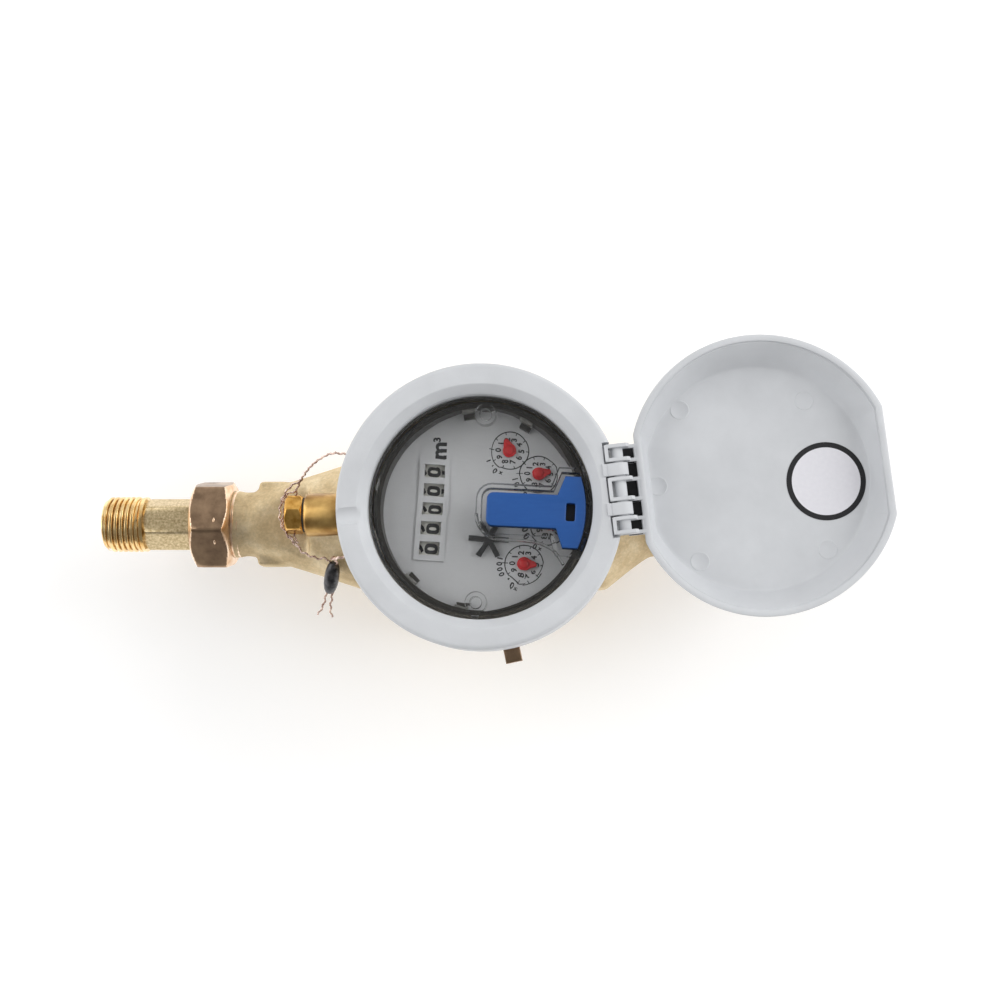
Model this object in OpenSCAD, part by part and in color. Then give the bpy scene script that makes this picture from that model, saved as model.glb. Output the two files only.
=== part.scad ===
// Domestic multi-jet water meter with a wet register, standing on its cast base with the lid open.
// The origin is the centre of the base, X runs along the pipe from inlet to outlet, and Z is up.

/* [Body casting] */
// Height of the pipe axis above the base
pipe_z = 36; // [35:0.5:39]
// Head axis to the inlet face of the body
inlet_len = 110; // [108:1:125]
// Head axis to the outlet face of the body
outlet_len = 80; // [78:1:95]
// Radius of the well that holds the measuring insert
well_r = 39; // [38.8:0.1:41]
// Thickness of the cast wall
cast_wall = 3.5; // [3:0.25:4]
// Radius of the rounded foot of the bowl
bowl_round = 22; // [20:0.5:23]
// Radius of the flat base pad
base_r = 24; // [21:0.5:27]
// Height of the base pad below the bowl
base_h = 2; // [1.5:0.25:3]
// Height of the seat that carries the measuring insert
seat_z = 38; // [37.5:0.25:40]
// Thickness of the seat ledge
seat_t = 4; // [3:0.25:4.5]
// Radius of the opening in the seat ledge
seat_r = 33; // [32.5:0.25:34]
// Radius of the flow passages
pass_r = 7; // [6:0.25:7.25]
// Radius of the neck behind each spigot
neck_r = 12.7; // [12:0.1:13.2]
// Radius of each horn where it meets the bowl
horn_r = 26; // [25:0.25:28]
// Outer radius of the spigot thread
spigot_r = 13.2; // [13:0.1:14]
// Length of the spigot thread
spigot_len = 12.5; // [11:0.5:13]
// Wall of the threaded collar round the well
collar_wall = 6; // [5:0.25:7]

/* [Pipe connections] */
// Width across flats of a union nut
nut_flats = 32; // [32:0.5:36]
// Length of a union nut
nut_len = 17.5; // [17:0.5:20]
// Thickness of the shoulder in a union nut
nut_shoulder = 3; // [2.5:0.25:4]
// Thickness of a union gasket
gasket_t = 2; // [1.5:0.25:2.5]
// Thickness of the tailpiece flange
tail_flange_t = 3; // [2.5:0.25:4]
// Width across flats of the tailpiece
tail_flats = 17.7; // [17:0.1:18]
// Visible length of the tailpiece hexagon
tail_hex_len = 17.5; // [14:0.5:22]
// Outer radius of the tailpiece pipe thread
tail_thread_r = 10.48; // [10.3:0.02:10.6]
// Length of the tailpiece pipe thread
tail_thread_len = 16.5; // [14:0.5:20]
// Radius of the tailpiece bore
tail_bore_r = 6.75; // [6:0.25:7.25]

/* [Measuring insert] */
// Height of the cup floor above the base
cup_z = 16; // [15:0.5:18]
// Rise of the cup rim above its seat
cup_rise = 20; // [19:0.5:22]
// Wall of the measuring cup
cup_wall = 2.5; // [2:0.25:3]
// Thickness of the cup flange and of the chamber cover
flange_t = 3; // [2.5:0.25:4]
// Number of tangential jets in each row
jets = 12; // [10:1:16]
// Width of a jet
jet_w = 4; // [3:0.25:4.5]
// Radius of the impeller vanes
vane_r = 26; // [22:0.5:28]
// Number of impeller vanes
vanes = 9; // [6:1:12]
// Thickness of a vane
vane_t = 1.2; // [0.8:0.1:1.6]
// Radius of the impeller spindle
spindle_r = 1.2; // [1:0.1:1.4]

/* [Register] */
// Turn of the register about the head axis
register_turn = -2.7; // [-8:0.1:8]
// Thickness of the register plates
plate_t = 2; // [1.5:0.25:3]
// Module of the gear teeth
gear_m = 0.6; // [0.58:0.01:0.61]
// Face width of a gear
gear_w = 1.6; // [1.2:0.1:1.8]
// Height from one gear level to the next
gear_step = 2.2; // [2.1:0.05:2.6]
// Play left on each tooth flank
tooth_play = 0.1; // [0.08:0.01:0.14]
// Radius of the gear arbors
arbor_r = 0.6; // [0.5:0.05:0.65]
// Distance of the pointer arbors from the head axis
pointer_r = 24.8; // [24.2:0.1:25.2]
// Length of a pointer from its arbor
pointer_len = 4.6; // [4:0.1:6]
// Thickness of the dial
dial_t = 0.8; // [0.6:0.1:1.2]
// Radius of the number rollers
roller_r = 8.6; // [8.2:0.1:8.9]
// Distance from one number roller to the next
roller_pitch = 7.2; // [7:0.1:7.6]
// Width of a number roller
roller_w = 6.2; // [5.8:0.1:6.5]
// Distance of the roller shaft from the head axis
roller_x = 18.4; // [17.8:0.1:19]
// Length of an arm of the flow star
star_len = 7.2; // [6:0.1:7.6]

/* [Head] */
// Height of the wall between the dial and the glass
dial_wall_h = 8; // [7.5:0.25:10]
// Thickness of the glass gasket
glass_gasket_t = 2; // [1.5:0.25:2.5]
// Thickness of the rim of the glass
glass_rim_t = 5; // [4:0.25:6]
// Height of the glass above its rim
glass_rise = 3.5; // [3:0.25:4.5]
// Thickness of the window of the glass
window_t = 4; // [3:0.25:5]
// Radius of the opening in the head ring
opening_r = 40.2; // [39.9:0.1:41]
// Wall of the head ring round the collar
ring_wall = 6; // [5.5:0.25:7]
// Height of the head ring above the rim of the glass
ring_lip = 9.7; // [8.5:0.25:11]
// Depth of the head ring below the rim of the glass
ring_skirt = 16.8; // [14:0.5:18]
// Width of the blanking plug's stem
plug_w = 12; // [11:0.5:14]
// Width of the blanking plug's head
plug_head_w = 25.6; // [23:0.5:28]

/* [Lid and hinge] */
// Direction of the hinge from the head axis
hinge_angle = 6.5; // [-10:0.5:20]
// Depth of the hinge axis below the top of the head ring
hinge_drop = 2.5; // [2:0.25:3]
// Radius of the hinge pin
pin_r = 2.1; // [1.8:0.1:2.3]
// Depth of the lid
lid_h = 14; // [12:0.5:17]
// Wall of the lid
lid_wall = 2.2; // [1.8:0.1:3]
// Inward slope of the lid wall over its depth
lid_slope = 5.5; // [4:0.25:6.5]
// Radius that blends the flats of the lid into its round
lid_blend = 20; // [14:1:24]

/* [Regulator and seal] */
// Radius of the regulator boss
boss_r = 8; // [7.5:0.1:8.6]
// Width across flats of the regulator plug
cap_flats = 13.6; // [12:0.2:15]
// Length of the regulator plug's hexagon
cap_len = 6.5; // [5.5:0.25:8]
// Radius of the seal wire
wire_r = 0.45; // [0.4:0.05:0.5]
// Length of the seal
seal_len = 14; // [12:0.5:16]
// Radius of the seal
seal_r = 2.8; // [2.6:0.1:3]

/* [Fits] */
// Clearance between pieces that are put together by hand
fit = 0.3; // [0.2:0.05:0.35]
// Radial clearance of a shaft in its bearing
run = 0.06; // [0.04:0.01:0.08]

/* [Hidden] */
$fn = 48;
// Overlap that lets a cut run past a face
cut = 1;
// Clearance of a pressed joint
press = 0.02;

// Radii that follow the well
bowl_r = well_r + cast_wall;
collar_r = well_r + collar_wall;
ring_r = collar_r + ring_wall;
insert_gap = 0.6;
register_gap = 1.5;
glass_inset = 1.6;
dome_gap = 0.5;
dome_wall = 2.3;
insert_r = well_r - insert_gap;
register_r = well_r - register_gap;
glass_r = collar_r - glass_inset;
dome_r = opening_r - dome_gap;
dome_in = dome_r - dome_wall;

// Heights, stacked from the seat up to the top of the head ring
bowl_c = [bowl_r - bowl_round, base_h + bowl_round];
collar_rise = 4;
collar_low = pipe_z + horn_r + collar_rise;
seat_low = seat_z - seat_t;
cup_rim = seat_z + cup_rise;
cover_top = cup_rim + flange_t;
plate_top = cover_top + plate_t;
levels = 8;
top_plate_z = plate_top + levels * gear_step + 0.9;
dial_z = top_plate_z + plate_t;
dial_top = dial_z + dial_t;
glass_z = dial_top + dial_wall_h;
collar_top = glass_z - glass_gasket_t;
rim_top = glass_z + glass_rim_t;
glass_top = rim_top + glass_rise;
ring_top = rim_top + ring_lip;
ring_low = rim_top - ring_skirt;

// Flow passages slope from the pipe axis to the two annular spaces of the well
inlet_mouth_z = (bowl_c.y + seat_low) / 2 - 6;
outlet_mouth_z = (seat_z + cup_rim) / 2 + 1.5;
inlet_run = 21;
outlet_run = 17;
bend_lap = 1.5;
inlet_bend = bowl_r + inlet_run;
outlet_bend = bowl_r + outlet_run;

// Pipe connections, measured from the face of a spigot outwards
nut_reach = nut_shoulder + tail_flange_t + gasket_t;
tail_start = gasket_t;
tail_hex_start = tail_start + tail_flange_t;
tail_thread_start = nut_reach + tail_hex_len;
tail_end = tail_thread_start + tail_thread_len;
hub_hole_r = tail_thread_r + fit;
strainer_r = pass_r + 2.5;
strainer_len = 24;
strainer_end = 4;

// Regulator on top of the inlet horn
boss_reach = 26.5;
boss_face = bowl_r + boss_reach;
boss_y = 1.6;
boss_z = pipe_z + neck_r + boss_r + 0.3;
screw_r = 5;
screw_depth = 14;
bypass_r = 2.2;
washer_t = 1;
cap_start = boss_face + washer_t;
cap_mid = cap_start + cap_len / 2;
wire_hole_r = wire_r + fit;

// Measuring insert
cup_r = seat_r - 0.4;
cup_in = cup_r - cup_wall;
jet_h = 8;
jet_low = cup_z + 6;
jet_high = seat_z + flange_t + 5;
pivot_r = 1.2;
pivot_top = cup_z + 10;
impeller_low = cup_z + cup_wall + 2;
impeller_top = cup_rim - 2;

// Gear train: every mesh has a level of its own
pinion_n = 8;
star_wheel_n = 28;
star_pinion_n = 20;
litre_wheel_n = 32;
step_wheel_n = 30;
fast_pinion_n = 9;
slow_pinion_n = 10;
pinion_add = 0.8;
wheel_add = 0.5;
pinion_ded = 0.8;
wheel_ded = 1.1;
pressure_angle = 20;
pointer_angles = [68.8, 36.9, -10.2, -49];

function polar(r, a) = [r * cos(a), r * sin(a)];
function arc(c, r, a0, a1, n) = [for (i = [0:n]) c + polar(r, a0 + (a1 - a0) * i / n)];
function span(a, b) = gear_m * (a + b) / 2;
function heading(p, q) = atan2(q.y - p.y, q.x - p.x);
// The crossing of two circles that lies on the left of the line from p to q
function meet(p, rp, q, rq) =
  let (d = norm(q - p), x = (d * d + rp * rp - rq * rq) / (2 * d), a = acos(x / rp))
  p + polar(rp, heading(p, q) + a);
function level(k) = plate_top + 0.5 + k * gear_step;

// Phase of the driven gear so that its gap meets the driver's tooth, with the driver turned by phase
function mesh_phase(a, phase, n1, n2) = a + 180 - (0.5 - (a - phase) * n1 / 360) * 360 / n2;
function involute(a) = tan(a) * 180 / PI - a;
function half_tooth(r, n) =
  let (pitch = gear_m * n / 2, base = pitch * cos(pressure_angle))
  90 / n - tooth_play / pitch * 180 / PI + involute(pressure_angle)
  - involute(acos(min(1, base / max(r, base))));
function tooth(n, centre, radii) = concat(
  [for (r = radii) polar(r, centre - half_tooth(r, n))],
  [for (i = [len(radii) - 1:-1:0]) polar(radii[i], centre + half_tooth(radii[i], n))]);
function gear_outline(n, phase, add, ded) =
  let (pitch = gear_m * n / 2, radii = [pitch - ded * gear_m, pitch, pitch + add * gear_m])
  [for (i = [0:n - 1]) each tooth(n, phase + i * 360 / n, radii)];

pointer_at = [for (a = pointer_angles) polar(pointer_r, a)];
axis_at = [0, 0];
star_at = meet(pointer_at[3], span(star_pinion_n, litre_wheel_n), axis_at, span(pinion_n, star_wheel_n));
// Each idler takes the faster pointer behind it and drives the slower pointer before it
idler_at = [for (i = [0:2])
  meet(pointer_at[i + 1], span(fast_pinion_n, step_wheel_n),
    pointer_at[i], span(slow_pinion_n, step_wheel_n))];

// Number rollers
rollers = 5;
roller_y = [for (i = [0:rollers - 1]) ((rollers - 1) / 2 - i) * roller_pitch];
roller_z = top_plate_z + 1 - roller_r;
roller_shaft_r = 1;
roller_hub_r = 2.4;
roller_rim = 1.4;
roller_web = 1.6;
bracket_t = 2;
bracket_w = 6;
bracket_y = rollers * roller_pitch / 2 + 0.4;
window_l = 7.6;
window_w = 4.8;
frame_l = 11.4;
frame_h = 0.8;

pillar_r = 2.2;
pillar_place = register_r - 3.6;
pillar_angles = [105, 180, 255, 13.3];
screw_head_r = 1.9;
screw_head_h = 0.9;

// Blanking plug, and the pocket of the glass round it
plug_start = 1.4;
plug_corner = 2.4;
plug_gap = 1;
plug_neck = 26.5;
plug_shoulder = 29;
plug_edge = dome_in - 0.6;
pocket_floor = 1.5;
plug_floor = glass_z + pocket_floor;
plug_proud = 0.6;
pocket_wall = 2.2;
glass_boss_r = 3.8;
function plug_outline(g) =
  let (stem = plug_w / 2 + g, head = plug_head_w / 2 + g,
    edge = min(plug_edge + g, dome_r - 1), a = asin(head / edge),
    corner = [plug_start + plug_corner, plug_w / 2 - plug_corner])
  concat(
    arc(corner, plug_corner + g, 90, 180, 5), arc([corner.x, -corner.y], plug_corner + g, 180, 270, 5),
    [[plug_neck - g / 2, -stem], [plug_shoulder - g / 2, -head]],
    arc([0, 0], edge, -a, a, 10),
    [[plug_shoulder - g / 2, head], [plug_neck - g / 2, stem]]);

// Hinge, measured from its axis: x outwards, y along the pin, z up
hinge_r = ring_r - 0.6;
hinge_z = ring_top - hinge_drop;
lid_gap = 0.3;
loop_mid = 8.4;
loop_end = 6.2;
knuckle_w = 4.4;
knuckle_gap = 0.6;
knuckle_r = pin_r + 1.3;
loop_out = 4.6;
loop_half = knuckle_r - 0.2;
loop_bar = 1.3;
knuckle_y = loop_mid / 2 + knuckle_gap;
loop_end_y = knuckle_y + knuckle_w + knuckle_gap;
hinge_half = loop_end_y + loop_end;
lid_r = ring_r - 0.5;
lid_side = 6.6;
lid_flat = hinge_r - lid_side;
// Room that the loops need to swing past the head ring
hinge_room = norm([lid_side, loop_half]) + fit;
lid_rim = hinge_drop + lid_gap;
function lid_outline(g) =
  let (r = lid_r - g, f = lid_flat - g, b = lid_blend - g, cx = f - b, cy = sqrt((r - b) * (r - b) - cx * cx),
    a = atan2(cy, cx))
  concat(
    arc([cx, cy], b, 0, a, 4), arc([0, 0], r, a, 180 - a, 18), arc([-cx, cy], b, 180 - a, 180, 4),
    arc([-cx, -cy], b, 180, 180 + a, 4), arc([0, 0], r, 180 + a, 360 - a, 18),
    arc([cx, -cy], b, 360 - a, 360, 4));

// Seal: its two ends, and the routes of the two ends of the wire
seal_top = [-58.6, -18.4, 55];
seal_low = [-61.4, -29.6, 47];
wire_long_route = [
  [-44.7, 19, 84], [-49.7, 21.1, 84], [-57, 22, 80], [-65, 19, 71], [-71, 14, 61], [-73.2, 9, 57.4],
  [-73.2, 1.6, 57], [-73.2, -7, 57], [-71, -12, 57.5], [-65, -15, 58.5], [-60.6, -15.4, 57.6],
  [-59.8, -18.1, 55], [-61.2, -23.7, 51], [-62.6, -29.3, 47], [-64, -33, 44.8], [-66, -36, 43.5]
];
wire_short_route = [
  [-46.2, -15, 84], [-51.4, -16.7, 84], [-55, -17, 80.5], [-56.8, -16, 71], [-57, -15.6, 61],
  [-57.4, -18.7, 55], [-58.8, -24.3, 51], [-60.2, -29.9, 47], [-61, -33.5, 44.5], [-60.6, -37, 42.6]
];

// Places a shape that is drawn along Z onto the pipe axis, with Z pointing out of the inlet or the outlet
module inlet_side() {
  translate([0, 0, pipe_z]) rotate([0, -90, 0]) children();
}
module outlet_side() {
  translate([0, 0, pipe_z]) rotate([0, 90, 0]) children();
}
module register_frame() {
  rotate(register_turn) children();
}
module hinge_frame() {
  rotate(hinge_angle) translate([hinge_r, 0, hinge_z]) children();
}
module tube(r_out, r_in, z0, z1) {
  translate([0, 0, z0]) difference() {
    cylinder(r = r_out, h = z1 - z0);
    translate([0, 0, -cut]) cylinder(r = r_in, h = z1 - z0 + 2 * cut);
  }
}
// A round rod between two points
module rod(p, q, r) {
  d = q - p;
  translate(p) rotate([0, acos(d.z / norm(d)), atan2(d.y, d.x)]) cylinder(r = r, h = norm(d));
}
module hexagon(flats, z0, z1, turn) {
  translate([0, 0, z0]) rotate(turn) cylinder(r = flats / 2 / cos(30), h = z1 - z0, $fn = 6);
}

// Cast brass body: bowl with its well and seat, two horns with spigots, regulator boss and lugs
horn_steps = 5;
horn_power = 1.1;
inlet_root = 6.5;
outlet_root = 3.5;
spigot_run_out = 4;
spigot_chamfer = 1;
lug_near = 80;
lug_far = 90.8;
lug_y = 16.8;
lug_h = 10;
peg_angle = -78;
peg_w = 5.6;
peg_out = 3.6;
peg_drop = 3.5;
peg_hole_r = 0.9;

module horn(length, root) {
  neck = length - spigot_len - spigot_run_out;
  flare = [for (i = [0:horn_steps]) [neck_r + (horn_r - neck_r) * pow(1 - i / horn_steps, horn_power),
    root + (neck - root) * i / horn_steps]];
  rotate_extrude() polygon(concat(
    [[0, bowl_r / 2], [horn_r, bowl_r / 2]], flare,
    [[neck_r, length - spigot_len], [spigot_r, length - spigot_len], [spigot_r, length - spigot_chamfer],
    [spigot_r - spigot_chamfer, length], [0, length]]));
}
module bowl() {
  rotate_extrude() polygon(concat(
    [[0, base_h]], arc(bowl_c, bowl_round, -90, 0, 7),
    [[bowl_r, collar_low], [collar_r, collar_low + collar_r - bowl_r],
    [collar_r, collar_top], [0, collar_top]]));
  cylinder(r = base_r, h = base_h + 1.5);
}
module well() {
  rotate_extrude() polygon(concat(
    [[0, base_h + cast_wall]], arc(bowl_c, bowl_round - cast_wall, -90, 0, 7),
    [[well_r, seat_low], [seat_r, seat_low], [seat_r, seat_z], [well_r, seat_z],
    [well_r, collar_top + cut], [0, collar_top + cut]]));
}
module flow_passages() {
  inlet_side() translate([0, 0, inlet_bend]) cylinder(r = pass_r, h = inlet_len);
  inlet_side() translate([0, 0, inlet_len - strainer_len]) cylinder(r = strainer_r, h = strainer_len + cut);
  rod([-inlet_bend - bend_lap, 0, pipe_z], [-seat_r, 0, inlet_mouth_z], pass_r - 0.02);
  outlet_side() translate([0, 0, outlet_bend]) cylinder(r = pass_r, h = outlet_len);
  rod([outlet_bend + bend_lap, 0, pipe_z], [seat_r, 0, outlet_mouth_z], pass_r - 0.02);
}
module regulator_bore() {
  translate([-boss_face - cut, boss_y, boss_z]) rotate([0, 90, 0])
    cylinder(r = screw_r, h = screw_depth + cut);
  rod([-boss_face + screw_depth - 1, boss_y, boss_z - 1], [-seat_r - 2, 0, cup_rim - 8], bypass_r);
  translate([-boss_face + screw_depth - 4, boss_y / 2, pipe_z]) cylinder(r = bypass_r, h = boss_z - pipe_z);
}
module body() {
  color("darkkhaki") difference() {
    union() {
      bowl();
      difference() {
        inlet_side() horn(inlet_len, bowl_r + inlet_root);
        translate([-inlet_len, -horn_r, pipe_z + neck_r + 0.2])
          cube([inlet_len - boss_face + 0.5, 2 * horn_r, horn_r]);
      }
      outlet_side() horn(outlet_len, bowl_r + outlet_root);
      translate([-boss_face, boss_y, boss_z]) rotate([0, 90, 0])
        cylinder(r = boss_r, h = boss_face - bowl_r + 2);
      translate([-lug_far, -lug_y, pipe_z - lug_h / 2]) cube([lug_far - lug_near, 2 * lug_y, lug_h]);
      rotate(peg_angle) translate([bowl_r - 1, -peg_w / 2, ring_low - peg_drop - peg_w])
        cube([ring_r + peg_out - bowl_r + 1, peg_w, peg_w]);
    }
    well();
    flow_passages();
    regulator_bore();
    rotate(peg_angle) translate([ring_r + peg_out / 2, 0, ring_low - peg_drop - peg_w / 2])
      rotate([90, 0, 0]) cylinder(r = peg_hole_r, h = 2 * peg_w, center = true);
  }
}

// Union nuts, tailpieces and gaskets, drawn from the face of a spigot outwards
nut_turn = 35;
tail_turn = 47;
nut_chamfer = 1.7;
tail_chamfer = 1.2;
tail_flange_r = spigot_r - 0.8;

module nut() {
  low = nut_reach - nut_len;
  corner = nut_flats / 2 / cos(30) + 0.2;
  difference() {
    intersection() {
      hexagon(nut_flats, low, nut_reach, nut_turn);
      rotate_extrude() polygon([[0, low], [nut_flats / 2 - 0.3, low], [corner, low + nut_chamfer],
        [corner, nut_reach - nut_chamfer], [nut_flats / 2 - 0.3, nut_reach], [0, nut_reach]]);
    }
    translate([0, 0, low - cut]) cylinder(r = spigot_r + fit, h = nut_len - nut_shoulder + cut);
    translate([0, 0, low]) cylinder(r = hub_hole_r, h = nut_len + cut);
  }
}
module tailpiece() {
  difference() {
    union() {
      translate([0, 0, tail_start]) cylinder(r = tail_flange_r, h = tail_flange_t);
      hexagon(tail_flats, tail_hex_start - cut, tail_thread_start + cut, tail_turn);
      translate([0, 0, tail_thread_start]) rotate_extrude() polygon([[0, 0], [tail_thread_r, 0],
        [tail_thread_r, tail_thread_len - tail_chamfer], [tail_thread_r - tail_chamfer, tail_thread_len],
        [0, tail_thread_len]]);
    }
    translate([0, 0, -cut]) cylinder(r = tail_bore_r, h = tail_end + 2 * cut);
  }
}
module union_gasket() {
  tube(tail_flange_r, pass_r + 1, 0, gasket_t);
}
module inlet_nut() {
  color("saddlebrown") inlet_side() translate([0, 0, inlet_len]) nut();
}
module outlet_nut() {
  color("saddlebrown") outlet_side() translate([0, 0, outlet_len]) nut();
}
module inlet_tailpiece() {
  color("goldenrod") inlet_side() translate([0, 0, inlet_len]) tailpiece();
}
module outlet_tailpiece() {
  color("goldenrod") outlet_side() translate([0, 0, outlet_len]) tailpiece();
}
module inlet_gasket() {
  color("dimgray") inlet_side() translate([0, 0, inlet_len]) union_gasket();
}
module outlet_gasket() {
  color("dimgray") outlet_side() translate([0, 0, outlet_len]) union_gasket();
}

// Basket strainer in the inlet, with slots round it and holes in its end
strainer_t = 1.2;
strainer_slots = 8;
strainer_slot_w = 2.4;
strainer_hole_r = 1.2;
module inlet_strainer() {
  out_r = strainer_r - fit;
  color("whitesmoke") inlet_side() translate([0, 0, inlet_len - strainer_len]) difference() {
    cylinder(r = out_r, h = strainer_len);
    translate([0, 0, strainer_t]) cylinder(r = out_r - strainer_t, h = strainer_len);
    for (i = [0:strainer_slots - 1]) rotate(i * 360 / strainer_slots)
      translate([out_r - 2 * strainer_t, -strainer_slot_w / 2, strainer_end])
        cube([4 * strainer_t, strainer_slot_w, strainer_len - 2 * strainer_end]);
    for (i = [0:5]) rotate(i * 60) translate([out_r / 2, 0, -cut]) cylinder(r = strainer_hole_r, h = 4 * cut);
  }
}

// Bypass regulator: slotted needle screw in the boss, sealing washer and the drilled hexagon plug
cap_thread_len = 5;
needle_len = 4;
screw_len = 6;
slot_w = 1.2;
module regulator_screw() {
  color("goldenrod") translate([-boss_face + cap_thread_len + 1, boss_y, boss_z])
    rotate([0, 90, 0]) difference() {
    union() {
      cylinder(r = screw_r - press, h = screw_len);
      translate([0, 0, screw_len]) cylinder(r1 = bypass_r + 1, r2 = bypass_r - 0.6, h = needle_len - 2);
    }
    translate([-screw_r - cut, -slot_w / 2, -cut]) cube([2 * screw_r + 2 * cut, slot_w, cut + 1.5]);
  }
}
module regulator_washer() {
  color("dimgray") translate([-cap_start, boss_y, boss_z]) rotate([0, 90, 0])
    tube(cap_flats / 2 - 0.2, screw_r + fit, 0, washer_t);
}
module regulator_plug() {
  color("darkgoldenrod") difference() {
    translate([-cap_start, boss_y, boss_z]) union() {
      rotate([0, -90, 0]) hexagon(cap_flats, 0, cap_len, 0);
      rotate([0, 90, 0]) cylinder(r = screw_r - press, h = washer_t + cap_thread_len);
    }
    translate([-cap_mid, boss_y, boss_z]) rotate([90, 0, 0])
      cylinder(r = wire_hole_r, h = 3 * boss_r, center = true);
  }
}

// Measuring cup: floor, wall with two rows of slanting jets, and the flange that sits on the seat
jet_offset = cup_in * 0.55;
module jet_row(z, way) {
  for (i = [0:jets - 1]) rotate(i * 360 / jets)
    translate([0, way * jet_offset - jet_w / 2, z]) cube([seat_r + cut, jet_w, jet_h]);
}
module chamber_cup() {
  color("white") difference() {
    union() {
      translate([0, 0, cup_z]) cylinder(r = cup_r, h = cup_rim - cup_z);
      translate([0, 0, seat_z]) cylinder(r = insert_r, h = flange_t);
    }
    translate([0, 0, cup_z + cup_wall]) cylinder(r = cup_in, h = cup_rim);
    jet_row(jet_low, 1);
    jet_row(jet_high, -1);
    translate([0, 0, cup_z - cut]) cylinder(r = pivot_r + press, h = cup_wall + 2 * cut);
  }
}
module pivot_pin() {
  color("silver") translate([0, 0, cup_z]) cylinder(r = pivot_r, h = pivot_top - cup_z);
}

// Impeller with straight vanes, its spindle and the pinion on top of it
hub_r = 3.6;
spindle_top = level(0) + gear_w + 0.3;
module impeller() {
  color("ivory") register_frame() difference() {
    union() {
      translate([0, 0, impeller_low]) cylinder(r = hub_r, h = impeller_top - impeller_low);
      for (i = [0:vanes - 1]) rotate(i * 360 / vanes)
        translate([0, -vane_t / 2, jet_low]) cube([vane_r, vane_t, jet_high + jet_h - jet_low]);
      translate([0, 0, impeller_top]) cylinder(r = spindle_r, h = spindle_top - impeller_top);
      gear(axis_at, pinion_n, 0, pinion_add, pinion_ded, 0);
    }
    translate([0, 0, impeller_low - cut])
      cylinder(r = pivot_r + run, h = pivot_top + fit - impeller_low + cut);
  }
}
module chamber_cover() {
  color("white") tube(insert_r, spindle_r + run, cup_rim, cover_top);
}

// Register frame: two plates on pillars, with a bearing hole for every arbor and brackets for the rollers
register_shafts = concat([star_at], pointer_at, idler_at);
pinion_way_r = gear_m * pinion_n / 2 + 1;
screw_shank_r = 0.75;
screw_shank_len = 7;
module arbor_holes(z, r) {
  for (p = register_shafts) translate([p.x, p.y, z - cut]) cylinder(r = r, h = plate_t + 2 * cut);
}
module at_pillars(z) {
  for (a = pillar_angles) translate(concat(polar(pillar_place, a), [z])) children();
}
module register_base() {
  color("gainsboro") register_frame() difference() {
    union() {
      translate([0, 0, cover_top]) cylinder(r = register_r, h = plate_t);
      at_pillars(cover_top) cylinder(r = pillar_r, h = top_plate_z - cover_top);
      for (side = [-1, 1])
        translate([-roller_x - bracket_w / 2, side * (bracket_y + bracket_t / 2) - bracket_t / 2, cover_top])
          cube([bracket_w, bracket_t, roller_z + bracket_w / 2 - cover_top]);
    }
    translate([0, 0, cover_top - cut]) cylinder(r = pinion_way_r, h = plate_t + 2 * cut);
    arbor_holes(cover_top, arbor_r + run);
    at_pillars(top_plate_z - screw_shank_len) cylinder(r = screw_shank_r + press, h = screw_shank_len + cut);
    translate([-roller_x, 0, roller_z]) rotate([90, 0, 0])
      cylinder(r = roller_shaft_r + press, h = 3 * bracket_y, center = true);
  }
}
module register_top() {
  color("gainsboro") register_frame() difference() {
    translate([0, 0, top_plate_z]) cylinder(r = register_r, h = plate_t);
    translate([-roller_x - frame_l / 2, -bracket_y, top_plate_z - cut])
      cube([frame_l, 2 * bracket_y, plate_t + 2 * cut]);
    arbor_holes(top_plate_z, arbor_r + run);
    at_pillars(top_plate_z - cut) cylinder(r = screw_shank_r + 0.15, h = plate_t + 2 * cut);
    at_pillars(dial_z - screw_head_h - 0.2) cylinder(r = screw_head_r + fit, h = plate_t);
  }
}
module plate_screws() {
  color("silver") register_frame() at_pillars(dial_z - screw_head_h - 0.2) union() {
    cylinder(r = screw_head_r, h = screw_head_h);
    translate([0, 0, -screw_shank_len + 2]) cylinder(r = screw_shank_r, h = screw_shank_len - 2);
  }
}
module dial() {
  frame_w = rollers * roller_pitch + 1.6;
  color("silver") register_frame() difference() {
    union() {
      translate([0, 0, dial_z]) cylinder(r = register_r, h = dial_t);
      translate([-roller_x - frame_l / 2, -frame_w / 2, dial_z]) cube([frame_l, frame_w, dial_t + frame_h]);
    }
    for (y = roller_y) translate([-roller_x - window_l / 2, y - window_w / 2, dial_z - cut])
      cube([window_l, window_w, dial_t + frame_h + 2 * cut]);
    for (p = concat([star_at], pointer_at)) translate([p.x, p.y, dial_z - cut])
      cylinder(r = arbor_r + fit, h = dial_t + 2 * cut);
  }
}

// Gears and arbors: one arbor for the flow star, four for the pointers and three idlers between them
arbor_low = cover_top + fit;
arbor_high = dial_top + 2;
idler_high = dial_z - fit;
function wheel_level(j) = levels - 1 - 2 * j;
module gear(p, n, phase, add, ded, k) {
  translate([p.x, p.y, level(k)]) linear_extrude(gear_w) polygon(gear_outline(n, phase, add, ded));
}
module wheel_on(p, n, driver, n_driver, k) {
  gear(p, n, mesh_phase(heading(driver, p), 0, n_driver, n), wheel_add, wheel_ded, k);
}
module pinion_on(p, n, k) {
  gear(p, n, 0, pinion_add, pinion_ded, k);
}
module arbor_rod(p, top) {
  translate([p.x, p.y, arbor_low]) cylinder(r = arbor_r, h = top - arbor_low);
}
module star_arbor() {
  color("khaki") register_frame() union() {
    arbor_rod(star_at, arbor_high);
    wheel_on(star_at, star_wheel_n, axis_at, pinion_n, 0);
    pinion_on(star_at, star_pinion_n, 1);
  }
}
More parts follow.
